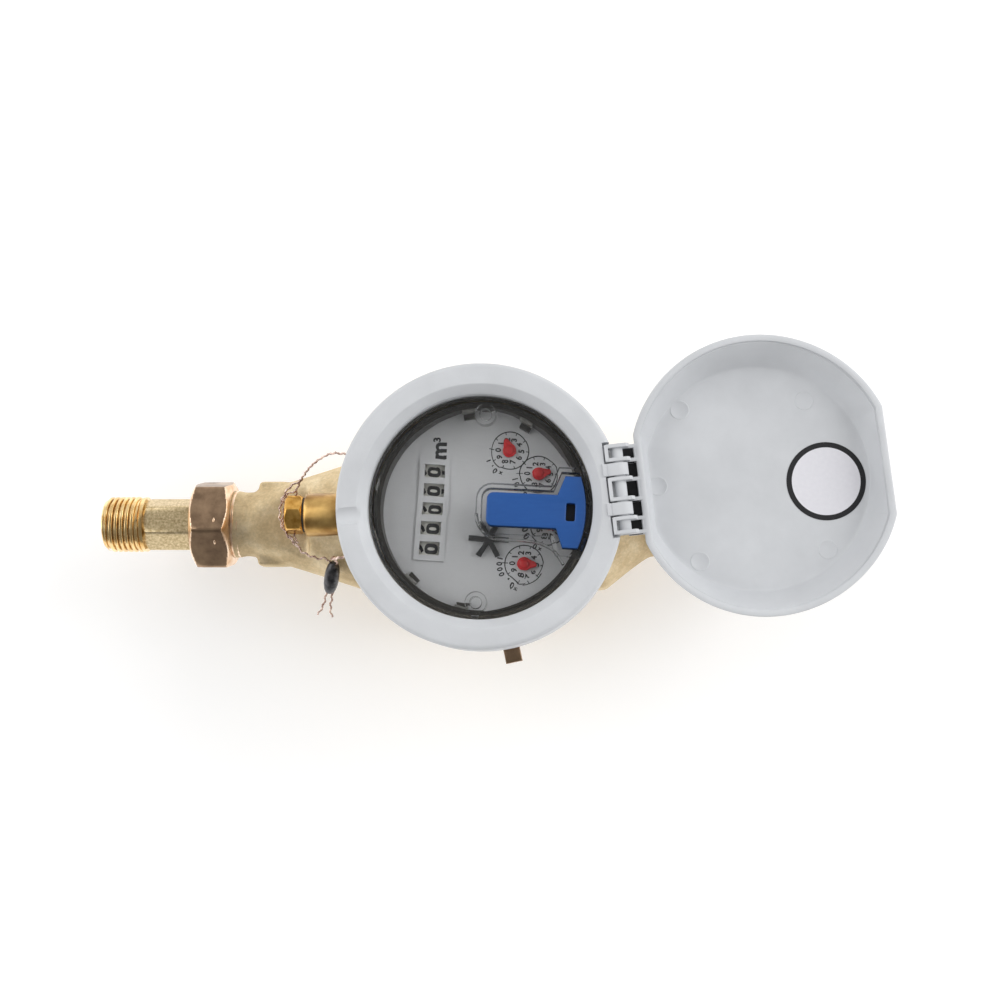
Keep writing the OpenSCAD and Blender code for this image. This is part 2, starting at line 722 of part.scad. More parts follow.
module pointer_arbor(j) {
  first = j == len(pointer_at) - 1;
  p = pointer_at[j];
  color("khaki") register_frame() union() {
    arbor_rod(p, arbor_high);
    if (first) wheel_on(p, litre_wheel_n, star_at, star_pinion_n, wheel_level(j));
    if (!first) wheel_on(p, step_wheel_n, idler_at[j], slow_pinion_n, wheel_level(j));
    if (j > 0) pinion_on(p, fast_pinion_n, wheel_level(j) + 1);
  }
}
module idler(i) {
  p = idler_at[i];
  color("khaki") register_frame() union() {
    arbor_rod(p, idler_high);
    wheel_on(p, step_wheel_n, pointer_at[i + 1], fast_pinion_n, wheel_level(i) - 1);
    pinion_on(p, slow_pinion_n, wheel_level(i));
  }
}

// Pointers and flow star, pressed on the arbors above the dial
hand_z = dial_top + 0.7;
hand_t = 0.9;
hand_hub_r = 2.5;
hand_tip_w = 1.4;
hand_headings = [115, 11, 93, 0];
star_hub_r = 1.7;
star_arms = 6;
star_arm_w = 1.9;
module pointer(j) {
  p = pointer_at[j];
  color("firebrick") register_frame() translate([p.x, p.y, hand_z]) rotate(hand_headings[j]) difference() {
    union() {
      cylinder(r = hand_hub_r, h = hand_t);
      linear_extrude(hand_t) polygon([[0, -hand_hub_r * 0.9], [pointer_len, -hand_tip_w / 2],
        [pointer_len, hand_tip_w / 2], [0, hand_hub_r * 0.9]]);
    }
    translate([0, 0, -cut]) cylinder(r = arbor_r + press, h = hand_t + 2 * cut);
  }
}
module flow_star() {
  color("black") register_frame() translate([star_at.x, star_at.y, hand_z]) difference() {
    union() {
      cylinder(r = star_hub_r, h = hand_t);
      for (i = [0:star_arms - 1]) rotate(i * 360 / star_arms)
        translate([0, -star_arm_w / 2, 0]) cube([star_len, star_arm_w, hand_t]);
    }
    translate([0, 0, -cut]) cylinder(r = arbor_r + press, h = hand_t + 2 * cut);
  }
}

// Number rollers: a rim for the digits, a web and a hub that turns on the shaft
module roller_shaft() {
  color("silver") register_frame() translate([-roller_x, 0, roller_z]) rotate([90, 0, 0])
    cylinder(r = roller_shaft_r, h = 2 * (bracket_y + bracket_t), center = true);
}
module roller(i) {
  low = -roller_w / 2;
  color("white") register_frame() translate([-roller_x, roller_y[i], roller_z]) rotate([90, 0, 0])
    rotate_extrude() polygon([[roller_shaft_r + run, low], [roller_r, low], [roller_r, -low],
      [roller_r - roller_rim, -low], [roller_r - roller_rim, low + roller_web],
      [roller_hub_r, low + roller_web], [roller_hub_r, -low], [roller_shaft_r + run, -low]]);
}

// Dark wall that stands on the edge of the dial and carries the glass
dial_wall_t = 2;
module dial_wall() {
  color("black") tube(insert_r, insert_r - dial_wall_t, dial_top, glass_z);
}
module glass_gasket() {
  color("dimgray") tube(glass_r, well_r + fit, collar_top, glass_z);
}

// Clear head glass: rim, domed window, two moulded bosses and the pocket for the blanking plug
glass_boss_in = 2.2;
dome_chamfer = 1;
glass_boss_place = dome_in - 3.6;
module plug_prism(g, z0, z1) {
  translate([0, 0, z0]) linear_extrude(z1 - z0) polygon(plug_outline(g));
}
module glass() {
  color("lightcyan", 0.4) register_frame() difference() {
    union() {
      rotate_extrude() polygon([[0, glass_top - window_t], [dome_in, glass_top - window_t],
        [dome_in, glass_z], [glass_r, glass_z], [glass_r, rim_top], [dome_r, rim_top],
        [dome_r, glass_top - dome_chamfer], [dome_r - dome_chamfer, glass_top], [0, glass_top]]);
      plug_prism(plug_gap + pocket_wall, glass_z, glass_top - cut);
      for (side = [-1, 1]) translate([0, side * glass_boss_place, glass_z])
        tube(glass_boss_r, glass_boss_in, 0, glass_top - window_t / 2 - glass_z);
    }
    plug_prism(plug_gap, plug_floor, glass_top + cut);
  }
}
// Clip-in plug that closes the pocket for a pulse sensor
plug_slot = [3.2, 6.4, 4];
plug_slot_x = 31.4;
module blanking_plug() {
  color("royalblue") register_frame() difference() {
    plug_prism(0, plug_floor, glass_top + plug_proud);
    translate([plug_slot_x - plug_slot.x / 2, -plug_slot.y / 2, glass_top + plug_proud - plug_slot.z])
      cube([plug_slot.x, plug_slot.y, plug_slot.z + cut]);
  }
}

// Head ring, screwed on the collar, with the hinge bearings, a finger notch and two holes for the seal wire
ring_round = 1.6;
ring_bevel = [3.2, 3.6];
notch_angle = 184.7;
notch_r = 4;
notch_depth = 1.35;
hinge_floor = norm([loop_out, loop_half]) + fit;
seal_hole_depth = 3.2;
function route_heading(route) = atan2(route[1].y - route[0].y, route[1].x - route[0].x);
module seal_hole(route) {
  translate(route[1]) rotate(route_heading(route)) rotate([0, -90, 0])
    cylinder(r = wire_hole_r, h = norm(route[1] - route[0]) + 0.4);
}
module head_ring() {
  bore_r = collar_r + fit;
  color("lightgray") difference() {
    union() {
      difference() {
        rotate_extrude() polygon(concat(
          [[bore_r, ring_low], [ring_r, ring_low]],
          arc([ring_r - ring_round, ring_top - ring_round], ring_round, 0, 90, 3),
          [[opening_r + ring_bevel.x, ring_top], [opening_r, ring_top - ring_bevel.y], [opening_r, rim_top],
          [glass_r + fit, rim_top], [glass_r + fit, collar_top + fit], [bore_r, collar_top + fit]]));
        hinge_frame() translate([-hinge_room, -hinge_half - 1, -hinge_floor])
          cube([2 * hinge_room, 2 * hinge_half + 2, 2 * hinge_floor]);
      }
      hinge_frame() for (side = [-1, 1]) translate([0, side * (knuckle_y + knuckle_w / 2), 0]) {
        rotate([90, 0, 0]) cylinder(r = knuckle_r, h = knuckle_w, center = true);
        translate([-hinge_room - 0.5, -knuckle_w / 2, -hinge_floor - 0.5])
          cube([hinge_room + 0.5, knuckle_w, hinge_floor + 0.5 + hinge_drop - 0.4]);
      }
    }
    hinge_frame() rotate([90, 0, 0]) cylinder(r = pin_r + press, h = 2 * hinge_half, center = true);
    rotate(notch_angle) translate([opening_r - cut, 0, ring_top + notch_r - notch_depth]) rotate([0, 90, 0])
      cylinder(r = notch_r, h = ring_r);
    seal_hole(wire_long_route);
    seal_hole(wire_short_route);
  }
}
module hinge_pin() {
  color("silver") hinge_frame() rotate([90, 0, 0]) cylinder(r = pin_r, h = 2 * hinge_half, center = true);
}

// Lid, drawn open: a dished shell with two flats, and three box loops round the hinge pin.
// A slice of the shell is [inset from the rim outline, depth below the rim].
lid_shell = [[0, 0], [0.6 * lid_slope, 0.78 * lid_h], [lid_slope + 2.4, lid_h]];
lid_hollow = [[lid_wall, -cut], [lid_wall + 0.6 * lid_slope, 0.7 * lid_h],
  [lid_wall + lid_slope, lid_h - lid_wall]];
slice_t = 0.02;
root_depth = 6;
module lid_stack(slices) {
  hull() for (s = slices) translate([hinge_r, 0, -lid_rim - s[1] - slice_t])
    linear_extrude(slice_t) polygon(lid_outline(s[0]));
}
module loop(y0, width) {
  difference() {
    union() {
      translate([-loop_out, y0, -loop_half]) cube([loop_out + lid_side, width, 2 * loop_half]);
      translate([lid_side - 1.6, y0, -lid_rim - root_depth]) cube([lid_wall + 1.2, width, root_depth]);
    }
    translate([-loop_out + 1.5 * loop_bar, y0 + loop_bar, -loop_half - cut])
      cube([loop_out + lid_side - 3 * loop_bar, width - 2 * loop_bar, 2 * loop_half + 2 * cut]);
  }
}
module lid() {
  color("lightgray") hinge_frame() difference() {
    union() {
      difference() {
        lid_stack(lid_shell);
        lid_stack(lid_hollow);
      }
      loop(-loop_mid / 2, loop_mid);
      loop(loop_end_y, loop_end);
      loop(-loop_end_y - loop_end, loop_end);
    }
    rotate([90, 0, 0]) cylinder(r = pin_r + run, h = 2 * hinge_half + 2 * cut, center = true);
  }
}

// Seal on the two ends of the wire that runs through the regulator plug and the head ring
wire_sides = 8;
wire_steps = 3;
wire_side_dir = [0.6, -0.5, 0.62];
seal_round = 0.8;
// Points of a route from the top of the seal to the end of its tail
wire_tail_points = 5;
function unit(v) = v / norm(v);
function at(route, i) = route[max(0, min(len(route) - 1, i))];
function curve_point(a, b, c, d, t) =
  0.5 * (2 * b + (c - a) * t + (2 * a - 5 * b + 4 * c - d) * t * t + (3 * b - a - 3 * c + d) * t * t * t);
function smooth(route) = concat(
  [for (i = [0:len(route) - 2], k = [0:wire_steps - 1])
    curve_point(at(route, i - 1), route[i], route[i + 1], at(route, i + 2), k / wire_steps)],
  [route[len(route) - 1]]);
function wire_ring(p, t) =
  let (u = unit(cross(t, wire_side_dir)), v = cross(t, u))
  [for (k = [0:wire_sides - 1]) p + wire_r * (u * cos(k * 360 / wire_sides) + v * sin(k * 360 / wire_sides))];
module wire(route) {
  path = smooth(route);
  last = len(path) - 1;
  points = [for (i = [0:last]) each wire_ring(path[i], unit(at(path, i + 1) - at(path, i - 1)))];
  sides = [for (i = [0:last - 1], k = [0:wire_sides - 1])
    let (n = (k + 1) % wire_sides)
    [i * wire_sides + k, (i + 1) * wire_sides + k, (i + 1) * wire_sides + n, i * wire_sides + n]];
  start = [for (k = [0:wire_sides - 1]) k];
  end = [for (k = [wire_sides - 1:-1:0]) last * wire_sides + k];
  polyhedron(points, concat(sides, [start, end]));
}
module seal_frame() {
  d = seal_low - seal_top;
  translate((seal_top + seal_low) / 2) rotate([0, acos(d.z / norm(d)), atan2(d.y, d.x)]) children();
}
module lead_seal() {
  half = seal_len / 2;
  color("dimgray") difference() {
    seal_frame() rotate_extrude() polygon(concat(
      [[0, -half]], arc([seal_r - seal_round, seal_round - half], seal_round, -90, 0, 3),
      arc([seal_r - seal_round, half - seal_round], seal_round, 0, 90, 3), [[0, half]]));
    for (route = [wire_long_route, wire_short_route]) {
      i = len(route) - wire_tail_points;
      rod(route[i] * 1.5 - route[i + 1] * 0.5, route[i + 2] * 1.5 - route[i + 1] * 0.5, wire_hole_r);
    }
  }
}
module seal_wire_long() {
  color("rosybrown") wire(wire_long_route);
}
module seal_wire_short() {
  color("rosybrown") wire(wire_short_route);
}

body();
inlet_nut();
outlet_nut();
inlet_tailpiece();
outlet_tailpiece();
inlet_gasket();
outlet_gasket();
inlet_strainer();
regulator_screw();
regulator_washer();
regulator_plug();
chamber_cup();
pivot_pin();
impeller();
chamber_cover();
register_base();
register_top();
dial();
plate_screws();
star_arbor();
flow_star();
pointer_arbor(0);  // arbor_1
pointer_arbor(1);  // arbor_2
pointer_arbor(2);  // arbor_3
pointer_arbor(3);  // arbor_4
pointer(0);  // pointer_1
pointer(1);  // pointer_2
pointer(2);  // pointer_3
pointer(3);  // pointer_4
idler(0);  // idler_1
idler(1);  // idler_2
idler(2);  // idler_3
roller_shaft();
roller(0);  // roller_1
roller(1);  // roller_2
roller(2);  // roller_3
roller(3);  // roller_4
roller(4);  // roller_5
dial_wall();
glass_gasket();
glass();
blanking_plug();
head_ring();
hinge_pin();
lid();
lead_seal();
seal_wire_long();
seal_wire_short();
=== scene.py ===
import math
import bmesh
import bpy
from mathutils import Matrix, Vector


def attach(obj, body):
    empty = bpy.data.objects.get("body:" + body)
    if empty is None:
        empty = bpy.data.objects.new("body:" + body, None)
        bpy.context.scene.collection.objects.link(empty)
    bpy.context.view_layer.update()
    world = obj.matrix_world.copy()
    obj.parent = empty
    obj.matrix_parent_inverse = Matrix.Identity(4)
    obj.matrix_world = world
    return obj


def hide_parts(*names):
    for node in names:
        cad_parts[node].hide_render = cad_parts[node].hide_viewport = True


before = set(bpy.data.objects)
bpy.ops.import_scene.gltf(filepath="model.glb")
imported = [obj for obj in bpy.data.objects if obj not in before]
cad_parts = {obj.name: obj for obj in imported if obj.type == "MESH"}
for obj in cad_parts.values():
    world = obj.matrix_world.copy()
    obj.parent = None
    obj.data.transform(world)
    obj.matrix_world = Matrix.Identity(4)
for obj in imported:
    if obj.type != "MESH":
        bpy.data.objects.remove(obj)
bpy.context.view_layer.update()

# Studio: a plain pale floor under the meter, a white surround and two large soft lamps, the stronger one on the right.
# The camera looks down from almost straight above, a little from the front, as the photograph was taken.
scene = bpy.context.scene
scene.view_settings.view_transform = "Standard"
mm = 0.001
surround_light = 0.6
floor_half = 3
floor_glow, floor_glow_near = 0.6, 0.18
lamp_size = 1.2
lamp_aim = Vector((0.01, 0, 0.06))


def linear(hex_colour):
    parts = [int(hex_colour[i:i + 2], 16) / 255 for i in (1, 3, 5)]
    return [p / 12.92 if p <= 0.04045 else ((p + 0.055) / 1.055) ** 2.4 for p in parts] + [1]


def put(tree, kind, inputs=None, **settings):
    made = tree.nodes.new(kind)
    for name, value in settings.items():
        setattr(made, name, value)
    for key, value in (inputs or {}).items():
        if isinstance(value, bpy.types.NodeSocket):
            tree.links.new(value, made.inputs[key])
        else:
            made.inputs[key].default_value = value
    return made


def new_finish(name):
    material = bpy.data.materials.new(name)
    material.use_nodes = True
    return material, material.node_tree, material.node_tree.nodes["Principled BSDF"]


def shown(name, mesh, *materials):
    for material in materials:
        mesh.materials.append(material)
    made = bpy.data.objects.new(name, mesh)
    scene.collection.objects.link(made)
    return made


def looking_rays(tree):
    # The kinds of ray, and 1 for those that look at a thing straight, in a mirror or through glass
    kinds = put(tree, "ShaderNodeLightPath").outputs
    mirrored = put(tree, "ShaderNodeMath", {0: kinds["Is Camera Ray"], 1: kinds["Is Glossy Ray"]}, operation="MAXIMUM")
    looking = put(tree, "ShaderNodeMath", {0: mirrored.outputs[0], 1: kinds["Is Transmission Ray"]},
                  operation="MAXIMUM")
    return kinds, looking.outputs[0]


# The surround is white to look at, but polished things see it darker overhead, where a room is open.
open_side = (0, -0.47, 0.88)
world = bpy.data.worlds.new("white_surround")
scene.world = world
world.use_nodes = True
tree = world.node_tree
kinds, looking = looking_rays(tree)
way = put(tree, "ShaderNodeTexCoord")
toward = put(tree, "ShaderNodeVectorMath", {0: way.outputs["Generated"], 1: open_side}, operation="DOT_PRODUCT")
overhead = put(tree, "ShaderNodeMapRange", {0: toward.outputs["Value"], 1: 0.15, 2: 0.7, 3: 1.0, 4: 0.25},
               interpolation_type="SMOOTHSTEP")
for_gloss = put(tree, "ShaderNodeMix", {0: kinds["Is Glossy Ray"], 2: 1.0, 3: overhead.outputs[0]})
level = put(tree, "ShaderNodeMapRange", {0: looking, 3: surround_light, 4: for_gloss.outputs[0]})
tree.links.new(level.outputs[0], tree.nodes["Background"].inputs["Strength"])
tree.nodes["Background"].inputs["Color"].default_value = linear("#FFFFFF")

# The floor glows a little to the eye and more so far away, so that it ends white and keeps the shadow near the meter.
floor_mesh = bpy.data.meshes.new("floor")
floor_mesh.from_pydata([(-floor_half, -floor_half, 0), (floor_half, -floor_half, 0), (floor_half, floor_half, 0),
                        (-floor_half, floor_half, 0)], [], [(0, 1, 2, 3)])
pale, tree, paint = new_finish("matt_white_paper")
paint.inputs["Base Color"].default_value = linear("#F4F4F4")
paint.inputs["Roughness"].default_value = 0.9
paint.inputs["Emission Color"].default_value = linear("#FFFFFF")
kinds, looking = looking_rays(tree)
place = put(tree, "ShaderNodeTexCoord")
away = put(tree, "ShaderNodeVectorMath", {0: place.outputs["Object"]}, operation="LENGTH")
near = put(tree, "ShaderNodeMapRange", {0: kinds["Is Camera Ray"], 3: floor_glow, 4: floor_glow_near})
lift = put(tree, "ShaderNodeMapRange", {0: away.outputs["Value"], 1: 0.2, 2: 0.8, 3: near.outputs[0], 4: floor_glow},
           interpolation_type="SMOOTHSTEP")
glow = put(tree, "ShaderNodeMath", {0: looking, 1: lift.outputs[0]}, operation="MULTIPLY")
tree.links.new(glow.outputs[0], paint.inputs["Emission Strength"])
shown("floor", floor_mesh, pale)

for name, at, power in (("key_lamp", (1.15, 0.4, 0.75), 13.0), ("fill_lamp", (-1.15, 0.2, 0.75), 8.5)):
    lamp = bpy.data.lights.new(name, "AREA")
    lamp.size = lamp_size
    lamp.energy = power
    lamp_object = bpy.data.objects.new(name, lamp)
    scene.collection.objects.link(lamp_object)
    lamp_object.location = at
    lamp_object.rotation_euler = (lamp_aim - Vector(at)).to_track_quat("-Z", "Y").to_euler()

camera = bpy.data.cameras.new("camera")
camera.lens = 59.9
camera.sensor_width = 36
camera_object = bpy.data.objects.new("camera", camera)
scene.collection.objects.link(camera_object)
camera_at = Vector((31, -63.5, 689)) * mm
aim = Vector((7.4, 1.7, 107)) * mm
roll = math.radians(0.2)
sight = (aim - camera_at).normalized()
rightward = sight.cross((0, 1, 0)).normalized()
facing = Matrix((rightward, rightward.cross(sight), -sight)).transposed().to_4x4()
camera_object.matrix_world = Matrix.Translation(camera_at) @ facing @ Matrix.Rotation(roll, 4, "Z")
scene.camera = camera_object

# Body: one sand casting of brass with the bowl, two flared horns, the regulator boss, two side lugs and a sealing peg.
# It is fettled by hand, so all its corners are soft; the spigots under the nuts carry turned threads.
voxel = 1.0 * mm


def merged_copy(node, name):
    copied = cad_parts[node].data.copy()
    copied.name = name
    copied.materials.clear()
    bm = bmesh.new()
    bm.from_mesh(copied)
    bmesh.ops.remove_doubles(bm, verts=bm.verts, dist=0.002 * mm)
    bm.to_mesh(copied)
    bm.free()
    return copied


def baked(made):
    depsgraph = bpy.context.evaluated_depsgraph_get()
    mesh = bpy.data.meshes.new_from_object(made.evaluated_get(depsgraph))
    made.modifiers.clear()
    made.data = mesh
    return made


# Sand-cast brass, tumbled and stored: dull olive yellow with a sandy skin, browner in patches, rubbed bright here and
# there.
cast_brass, tree, paint = new_finish("sand_cast_brass")
place = put(tree, "ShaderNodeTexCoord")
patch = put(tree, "ShaderNodeTexNoise", {"Vector": place.outputs["Object"], "Scale": 1 / 0.014, "Detail": 5,
                                         "Roughness": 0.65})
tone = put(tree, "ShaderNodeValToRGB", {0: patch.outputs["Fac"]})
tone.color_ramp.elements[0].position = 0.32
tone.color_ramp.elements[0].color = linear("#C8B48F")
tone.color_ramp.elements[1].position = 0.68
tone.color_ramp.elements[1].color = linear("#E0D0B0")
middle = tone.color_ramp.elements.new(0.5)
middle.color = linear("#D4C19D")
grit = put(tree, "ShaderNodeTexNoise", {"Vector": place.outputs["Object"], "Scale": 1 / 0.0011, "Detail": 3,
                                        "Roughness": 0.7})
speck = put(tree, "ShaderNodeMapRange", {0: grit.outputs["Fac"], 1: 0.3, 2: 0.7, 3: 0.86, 4: 1.08})
shade = put(tree, "ShaderNodeMix", {0: 1.0, 6: tone.outputs[0], 7: speck.outputs[0]}, data_type="RGBA",
            blend_type="MULTIPLY")
tree.links.new(shade.outputs[2], paint.inputs["Base Color"])
dull = put(tree, "ShaderNodeMapRange", {0: patch.outputs["Fac"], 1: 0.3, 2: 0.7, 3: 0.78, 4: 0.62})
tree.links.new(dull.outputs[0], paint.inputs["Roughness"])
paint.inputs["Metallic"].default_value = 1
lumps = put(tree, "ShaderNodeTexNoise", {"Vector": place.outputs["Object"], "Scale": 1 / 0.006, "Detail": 2})
skin = put(tree, "ShaderNodeMath", {0: lumps.outputs["Fac"], 1: 2.0, 2: grit.outputs["Fac"]}, operation="MULTIPLY_ADD")
bump = put(tree, "ShaderNodeBump", {"Height": skin.outputs[0], "Strength": 0.5, "Distance": 0.16 * mm})
tree.links.new(bump.outputs[0], paint.inputs["Normal"])

casting = shown("body_casting", merged_copy("body", "body_casting"), cast_brass)
remesh = casting.modifiers.new("skin", "REMESH")
remesh.mode = "VOXEL"
remesh.voxel_size = voxel
soften = casting.modifiers.new("fettled_corners", "SMOOTH")
soften.factor = 0.5
soften.iterations = 7
thin = casting.modifiers.new("fewer_faces", "DECIMATE")
thin.ratio = 0.6
baked(casting)
casting.data.polygons.foreach_set("use_smooth", [True] * len(casting.data.polygons))
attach(casting, "meter")
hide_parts("body")

# Union nuts, turned from hexagon brass: chamfered at both ends by the lathe, so each flat ends in a curve.
# They pull the tailpiece flanges on the gaskets, and screw on the threaded spigots. Sizes from here on are in mm.
nut_flats, nut_length, nut_turn = 32, 15.7, math.radians(17.3)
nut_mouth, nut_bore, nut_end_wall = 10.8, 13.3, 3
nut_overlap = 9.5
pipe_z, inlet_face, outlet_face = 36, 110, 80
uncut = 1000


def moved(x, y, z=0):
    return Matrix.Translation((x * mm, y * mm, z * mm))


def spun(degrees, axis="Z"):
    return Matrix.Rotation(math.radians(degrees), 4, axis)


def polar(bm, radius, angle, z):
    return bm.verts.new((radius * mm * math.cos(angle), radius * mm * math.sin(angle), z * mm))


def bridge(bm, rows):
    # Faces between neighbouring rows of points; each row closes on itself
    for one, two in zip(rows, rows[1:]):
        for k in range(len(one)):
            n = (k + 1) % len(one)
            bm.faces.new((one[k], one[n], two[n], two[k]))


def turned_hexagon(bm, flats, stations, inside, turn):
    # stations: (distance along the axis, radius that the lathe leaves there); inside: the same for the bore, backwards
    steps = (-30, -29.5, -28.8, -27.8, -26, -21, -14, -7, 0, 7, 14, 21, 26, 27.8, 28.8, 29.5)
    around = [(math.radians(face * 60 + step) + turn, flats / 2 / math.cos(math.radians(step)))
              for face in range(6) for step in steps]
    corner = flats / 2 / math.cos(math.radians(30)) - 0.35
    soft = 0.3
    rows = []
    for along, cut in stations:
        row = []
        for angle, flat in around:
            hexagon = flat if flat < corner else corner + (flat - corner) * 0.4
            near = max(soft - abs(cut - hexagon), 0) / soft
            row.append(polar(bm, min(cut, hexagon) - near * near * soft / 4, angle, along))
        rows.append(row)
    for along, radius in inside:
        rows.append([polar(bm, radius, angle, along) for angle, flat in around])
    bridge(bm, rows + rows[:1])


def chamfered(length, first, last, low, slope):
    # Lathe radii of a bar whose two ends are chamfered over the lengths first and last, from the radius low
    rows = [(first * i / 10, low + slope * first * i / 10) for i in range(11)]
    rows += [(first + (length - first - last) * i / 4, uncut) for i in range(1, 4)]
    return rows + [(length - last * i / 10, low + slope * last * i / 10) for i in range(10, -1, -1)]


def on_pipe(mesh, face, sign):
    # From an axis along Z to the pipe axis, with Z pointing out of the inlet (-1) or the outlet (+1)
    mesh.transform(moved(sign * face, 0, pipe_z) @ spun(sign * 90, "Y"))
    return mesh


def meshed(name, bm, sharp=None):
    # A mesh of its own; with an angle, it is shaded smooth except at edges sharper than that
    mesh = bpy.data.meshes.new(name)
    bm.to_mesh(mesh)
    bm.free()
    if sharp is not None:
        mesh.polygons.foreach_set("use_smooth", [True] * len(mesh.polygons))
        mesh.set_sharp_from_angle(angle=math.radians(sharp))
    return mesh


def turned_mesh(name, bm, sharp):
    bmesh.ops.remove_doubles(bm, verts=bm.verts, dist=0.001 * mm)
    bmesh.ops.recalc_face_normals(bm, faces=bm.faces)
    return meshed(name, bm, sharp)


def second_finish(mesh, chosen):
    # The second finish for the faces whose upward share is chosen, the first for the others
    for polygon in mesh.polygons:
        polygon.material_index = 1 if chosen(polygon.normal.z) else 0


def joined(name, meshes, *materials):
    # Several meshes as one piece, each with the finish of this number; without a number its faces keep their own
    bm = bmesh.new()
    for mesh, finish in meshes:
        start = len(bm.faces)
        bm.from_mesh(mesh)
        bm.faces.ensure_lookup_table()
        for face in bm.faces[start:]:
            if finish is not None:
                face.material_index = finish
    return shown(name, meshed(name, bm), *materials)


def mottled(name, patch, detail, dark, light, rough, metal=0, stops=(0, 1), grain=0.5, drag=None, relief=None):
    # A finish that drifts from dark to light in patches of this size: stops are where each tone is full, rough is one
    # value or the two for dark and light, drag squeezes the patches, relief (strength, depth) raises them
    material, tree, paint = new_finish(name)
    where = put(tree, "ShaderNodeTexCoord").outputs["Object"]
    if drag:
        where = put(tree, "ShaderNodeMapping", {"Vector": where, "Scale": drag}).outputs[0]
    drift = put(tree, "ShaderNodeTexNoise", {"Vector": where, "Scale": 1 / (patch * mm), "Detail": detail,
                                             "Roughness": grain}).outputs["Fac"]
    tone = put(tree, "ShaderNodeValToRGB", {0: drift})
    for i, colour in enumerate((dark, light)):
        tone.color_ramp.elements[i].position = stops[i]
        tone.color_ramp.elements[i].color = linear(colour)
    tree.links.new(tone.outputs[0], paint.inputs["Base Color"])
    paint.inputs["Metallic"].default_value = metal
    if isinstance(rough, tuple):
        polish = put(tree, "ShaderNodeMapRange", {0: drift, 1: 0.3, 2: 0.7, 3: rough[0], 4: rough[1]})
        tree.links.new(polish.outputs[0], paint.inputs["Roughness"])
    else:
        paint.inputs["Roughness"].default_value = rough
    if relief:
        bump = put(tree, "ShaderNodeBump", {"Height": drift, "Strength": relief[0], "Distance": relief[1] * mm})
        tree.links.new(bump.outputs[0], paint.inputs["Normal"])
    return material


# Turned brass, browned by handling and age: satin dark faces with fine lathe lines and cloudy stains.
nut_brown = mottled("browned_turned_brass", 7, 5, "#7A6450", "#A68B70", (0.42, 0.28), 1, (0.35, 0.7), grain=0.6)
tree = nut_brown.node_tree
place = put(tree, "ShaderNodeTexCoord")
scratch = put(tree, "ShaderNodeMapping", {"Vector": place.outputs["Object"], "Scale": (6, 1, 1)})
lines = put(tree, "ShaderNodeTexNoise", {"Vector": scratch.outputs[0], "Scale": 1 / 0.0022, "Detail": 3})
bump = put(tree, "ShaderNodeBump", {"Height": lines.outputs["Fac"], "Strength": 0.25, "Distance": 0.06 * mm})
tree.links.new(bump.outputs[0], tree.nodes["Principled BSDF"].inputs["Normal"])

# The same brass where the lathe or a spanner has bared it: coppery pink, brighter and smoother than the flats.
bared_brass = mottled("bared_brass_chamfer", 4, 4, "#CDA680", "#F2DCC4", 0.33, 1, (0.3, 0.7))

# The inlet nut carries two small burrs that a pipe wrench raised: (flat that each sits on, distance from its middle).
for name, face, sign, burrs in (("inlet_nut", inlet_face, -1, ((17.3, -4.9), (-42.7, 3.4))),
                                ("outlet_nut", outlet_face, 1, ())):
    bm = bmesh.new()
    turned_hexagon(bm, nut_flats, chamfered(nut_length, 2.6, 2.0, 15.0, 1.55),
                   [(nut_length, nut_mouth), (nut_length - nut_end_wall, nut_mouth),
                    (nut_length - nut_end_wall, nut_bore), (0, nut_bore)], nut_turn)
    mesh = turned_mesh(name + "_turned", bm, 40)
    second_finish(mesh, lambda up: abs(up) > 0.25)
    parts = [(mesh, None)]
    for angle, aside in burrs:
        bm = bmesh.new()
        bmesh.ops.create_uvsphere(bm, u_segments=12, v_segments=8, radius=1.0)
        burr = turned_mesh("burr", bm, 80)
        burr.transform(spun(angle) @ moved(nut_flats / 2 - 0.05, aside, 5.3)
                       @ Matrix.Diagonal((0.3 * mm, 1.1 * mm, 0.45 * mm, 1)))
        parts.append((burr, 1))
    for part, finish in parts:
        on_pipe(part, face - nut_overlap, sign)
    nut = joined(name + "_turned", parts, nut_brown, bared_brass)
    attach(nut, "meter")
    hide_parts(name)

# Tailpieces, turned from smaller hexagon bar: a flange inside the nut, a plain hexagon and a tapered pipe thread.
# The thread has seven rounded turns and runs out before the hexagon.
tail_flats, tail_turn, tail_bore = 18.3, math.radians(66.2), 6.75
tail_hex_start, tail_thread_start, tail_end = 5, 25.5, 42
tail_thread_radius, thread_pitch, thread_depth = 11.1, 2.1, 1.05
flange_radius = 12.6
spigot_radius, spigot_depth = 13.2, 0.7


def with_inputs(tree, rows):
    # Gives a node tree its named inputs and one geometry output
    for name, kind, value in rows:
        socket = tree.interface.new_socket(name, in_out="INPUT", socket_type="NodeSocket" + kind)
        if value is not None:
            socket.default_value = value
    tree.interface.new_socket("Geometry", in_out="OUTPUT", socket_type="NodeSocketGeometry")
    return put(tree, "NodeGroupInput").outputs


